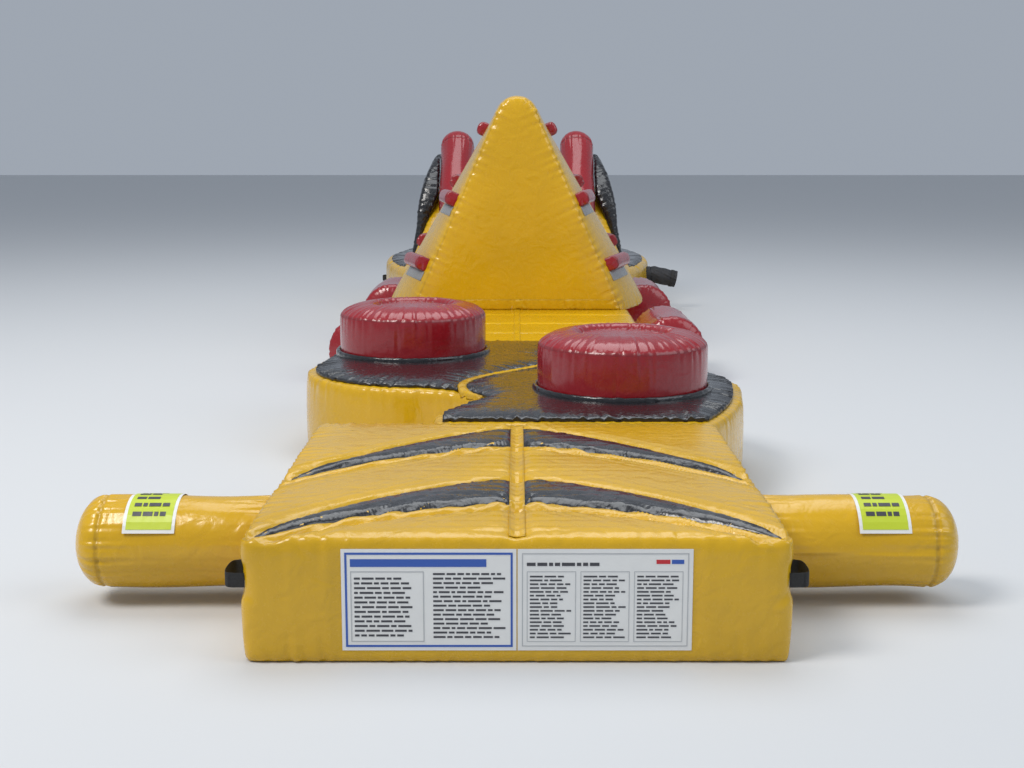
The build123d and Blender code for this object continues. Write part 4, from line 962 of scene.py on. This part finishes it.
def make_fittings():
    """Webbing handles and tabs, the blower sleeve and its tie, and the zips."""
    paint, sizes = paints(), bpy.context.scene.course_fittings
    joints = {j["name"]: j for j in frame["joints"]}
    t = np.linspace(0, math.pi, 90)
    out = np.abs(np.sin(t)) ** 0.42
    across = -np.sign(np.cos(t)) * np.abs(np.cos(t)) ** 0.75
    first_tab = True
    for place in ("front", "rear"):
        for side in SIDES:
            node = f"handle_{place}_{side}"
            px, py, pz = joints[node + "_hinge"]["pos_m"]
            sign = -1 if side == "left" else 1
            path = [(px + sign * 0.0362 * o, py + 0.0730 * a, pz) for o, a in zip(out, across)]
            loop = band(node + "_strap", path, (0, 0, 1), 0.003, 0.025, paint["webbing"], node)
            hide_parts(node)
            for end in (-1, 1):
                root = px - sign * 0.035
                tab_path = [(root + sign * 0.047 * u, py + end * 0.0768, pz) for u in np.linspace(0, 1, 16)]
                tab = band(f"{node}_tab_{end + 1}", tab_path, (0, 0, 1), 0.003, 0.0248, paint["webbing"])
                if first_tab:
                    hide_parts("handle_tabs")
                    first_tab = False

    pivot = np.array(joints["sleeve_hinge"]["pos_m"])
    mouth = next(m for m in frame["record"]["mounts"] if m["name"] == "sleeve_mouth")
    away = np.array(mouth["axis"], float)
    length = 0.205

    def cloth(turn):
        s = np.concatenate([np.linspace(-0.068, length, 90), np.linspace(length, -0.03, 60)])[:, None]
        inner = np.concatenate([np.zeros(90), np.ones(60)])[:, None]
        cinch = np.exp(-(((s - (length - 0.045)) / 0.03) ** 2))
        fold = ripple(turn[None, :] * 0.085 + 0.3 * s, math.tau * 0.085 / sizes.folds)
        r = 0.083 - 0.004 * cinch + sizes.fold_depth * (0.45 + cinch * 0.5) * fold - 0.002 * inner
        r = r * np.where(s < -0.03, 1 - 0.12 * smooth_step(-0.03, -0.068, s), 1)
        r = r + 0.002 * np.sin(60 * s + 2 * turn[None, :])
        return np.repeat(s, len(turn), 1), r

    skin = revolved("sleeve_cloth", pivot, away, cloth, None, sides=220)
    sleeve = new_object("blower_sleeve_cloth", skin, paint["sleeve_fabric"], "sleeve")
    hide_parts("blower_sleeve")

    def wrap(turn):
        phi = np.linspace(0, math.tau, 20, endpoint=False)[:, None]
        fold = ripple(turn[None, :] * 0.085 + 0.3 * (length - 0.045), math.tau * 0.085 / sizes.folds)
        s = (length - 0.045) + 0.015 * np.sign(np.cos(phi)) * np.abs(np.cos(phi)) ** 0.4
        r = 0.0845 + 0.45 * sizes.fold_depth * fold + 0.0015 * np.sin(phi)
        return np.repeat(s, len(turn), 1), r

    closed = wrap
    points_s, points_r = closed(np.linspace(0, math.tau, 220, endpoint=False))
    aside = np.cross(away, (0, 0, 1))
    aside /= np.linalg.norm(aside)
    up = np.cross(aside, away)
    turn = np.linspace(0, math.tau, 220, endpoint=False)
    ring = np.cos(turn)[None, :, None] * aside + np.sin(turn)[None, :, None] * up
    tie_points = pivot + points_s[..., None] * away + points_r[..., None] * ring
    tie = new_object("sleeve_tie_strap", grid_mesh("tie", tie_points, True, True), paint["webbing"], "sleeve")
    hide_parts("sleeve_tie")

    lo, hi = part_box("sleeve_collar")

    def collar(turn):
        s = np.concatenate([np.linspace(lo.x - 0.02, hi.x, 30), np.linspace(hi.x, lo.x - 0.02, 30)])[:, None] - pivot[0]
        inner = np.concatenate([np.zeros(30), np.ones(30)])[:, None]
        fold = ripple(turn[None, :] * 0.085, math.tau * 0.085 / sizes.folds)
        return np.repeat(s, len(turn), 1), 0.0865 + 0.002 * fold - 0.002 * inner - 0.006 * inner * (s > -0.07)

    cuff = new_object("sleeve_collar_cloth", revolved("collar", pivot, (1, 0, 0), collar, None, sides=220),
                      paint["sleeve_fabric"])
    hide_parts("sleeve_collar")

    for node, slot in (("zip_slider_mat", "zip_metal"), ("zip_slider_course", "zip_metal")):
        slider = frame["nodes"][node]
        slider.data.materials.clear()
        slider.data.materials.append(paint[slot])
    lo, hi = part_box("zip_tapes")
    tapes = frame["nodes"]["zip_tapes"]
    tapes.data.materials.clear()
    tapes.data.materials.append(paint["zip_tape"])
    teeth = []
    for x0, sign, middle in ((0.9 + 0.006, 1, front_y() + 1.28), (-0.845 - 0.006, -1, front_y() + 6.70)):
        for k in range(int(0.42 / sizes.tooth_pitch)):
            y = middle - 0.21 + (k + 0.5) * sizes.tooth_pitch
            low_x, high_x = sorted((x0 - sign * 0.0004, x0 + sign * 0.0001))
            teeth.append(((low_x, y - 0.0017, 0.2058), (high_x, y + 0.0017, 0.2142)))
    new_object("zip_teeth", boxes_mesh("teeth", teeth), paint["zip_metal"]).data.shade_flat()
    for node, o in frame["nodes"].items():
        if node.endswith("_webs"):
            o.data.materials.clear()
            o.data.materials.append(paint["inner_web"])


def make_stage():
    """Pale floor, soft studio light and the camera."""
    sizes = bpy.context.scene.course_stage
    scene = bpy.context.scene
    bpy.ops.mesh.primitive_plane_add(size=120, location=(0, 0, -0.001))
    floor = bpy.context.object
    floor.name = "floor"
    material, tree, shader = base_material("floor_paint")
    shader.inputs["Base Color"].default_value = (0.62, 0.63, 0.64, 1)
    shader.inputs["Roughness"].default_value = 0.75
    floor.data.materials.append(material)
    for name, place, aim, size, watts, tint in (
        ("key", (-7, -9, 11), (0, 0, 0.5), 5.0, 1150, (1.0, 0.97, 0.93)),
        ("fill", (9, -7, 8), (0, 0, 0.5), 8.0, 380, (0.9, 0.95, 1.0)),
        ("top", (0, 1, 12), (0, 1, 0), 9.0, 650, (0.95, 0.98, 1.0)),
    ):
        lamp = bpy.data.objects.new(name, bpy.data.lights.new(name, "AREA"))
        lamp.data.shape, lamp.data.size, lamp.data.energy, lamp.data.color = "SQUARE", size, watts, tint
        lamp.location = place
        lamp.rotation_euler = (Vector(aim) - Vector(place)).to_track_quat("-Z", "Y").to_euler()
        scene.collection.objects.link(lamp)
    world = bpy.data.worlds.new("soft_sky")
    scene.world = world
    world.use_nodes = True
    world.node_tree.nodes["Background"].inputs["Color"].default_value = (0.72, 0.80, 0.92, 1)
    world.node_tree.nodes["Background"].inputs["Strength"].default_value = 0.48
    camera = bpy.data.objects.new("camera", bpy.data.cameras.new("camera"))
    camera.data.lens, camera.data.sensor_width = sizes.lens, 36.0
    camera.data.shift_x = -0.0049
    camera.location = (0, front_y() - sizes.back, sizes.eye)
    camera.rotation_euler = (math.pi / 2 - sizes.pitch, 0, 0)
    scene.collection.objects.link(camera)
    scene.camera = camera
    scene.view_settings.view_transform = "Standard"


# ------------------------------------------------------------------ add-on
class GroupOperator:
    """Shared run of one group's builder."""

    def execute(self, context):
        type(self).build()
        return {"FINISHED"}


class COURSE_OT_entry(GroupOperator, bpy.types.Operator):
    """Build the entry mat, cards and stabilisers"""

    bl_idname, bl_label, build = "course.entry", "Entry mat", staticmethod(make_entry)


class COURSE_OT_bollards(GroupOperator, bpy.types.Operator):
    """Build the bollard platform"""

    bl_idname, bl_label, build = "course.bollards", "Bollards", staticmethod(make_bollards)


class COURSE_OT_climb(GroupOperator, bpy.types.Operator):
    """Build the climbing fin, its base and buoys"""

    bl_idname, bl_label, build = "course.climb", "Climbing fin", staticmethod(make_climb)


class COURSE_OT_tower(GroupOperator, bpy.types.Operator):
    """Build the slide tower"""

    bl_idname, bl_label, build = "course.tower", "Slide tower", staticmethod(make_tower)


class COURSE_OT_fittings(GroupOperator, bpy.types.Operator):
    """Build the webbing, sleeve and zips"""

    bl_idname, bl_label, build = "course.fittings", "Fittings", staticmethod(make_fittings)


class COURSE_OT_stage(GroupOperator, bpy.types.Operator):
    """Set the floor, light and camera"""

    bl_idname, bl_label, build = "course.stage", "Stage", staticmethod(make_stage)


class COURSE_PT_panel(bpy.types.Panel):
    """Sidebar panel with the sizes and the builders"""

    bl_idname, bl_label = "COURSE_PT_panel", "Obstacle course"
    bl_space_type, bl_region_type, bl_category = "VIEW_3D", "UI", "Course"

    def draw(self, context):
        for group in ("course_fabric", "course_fittings", "course_stage"):
            box = self.layout.box()
            for key in getattr(context.scene, group).bl_rna.properties.keys():
                if key not in ("rna_type", "name"):
                    box.prop(getattr(context.scene, group), key)
        for operator in OPERATORS:
            self.layout.operator(operator.bl_idname)


OPERATORS = (COURSE_OT_entry, COURSE_OT_bollards, COURSE_OT_climb, COURSE_OT_tower, COURSE_OT_fittings,
             COURSE_OT_stage)
GROUPS = {"course_fabric": CourseFabric, "course_fittings": CourseFittings, "course_stage": CourseStage}


def register():
    for group in (*GROUPS.values(), *OPERATORS, COURSE_PT_panel):
        bpy.utils.register_class(group)
    for name, group in GROUPS.items():
        setattr(bpy.types.Scene, name, bpy.props.PointerProperty(type=group))


def unregister():
    for name in GROUPS:
        delattr(bpy.types.Scene, name)
    for group in reversed((*GROUPS.values(), *OPERATORS, COURSE_PT_panel)):
        bpy.utils.unregister_class(group)


def main():
    """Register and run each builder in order."""
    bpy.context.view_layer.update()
    register()
    for operator in OPERATORS:
        group, name = operator.bl_idname.split(".")
        getattr(getattr(bpy.ops, group), name)()


if __name__ == "__main__":
    main()
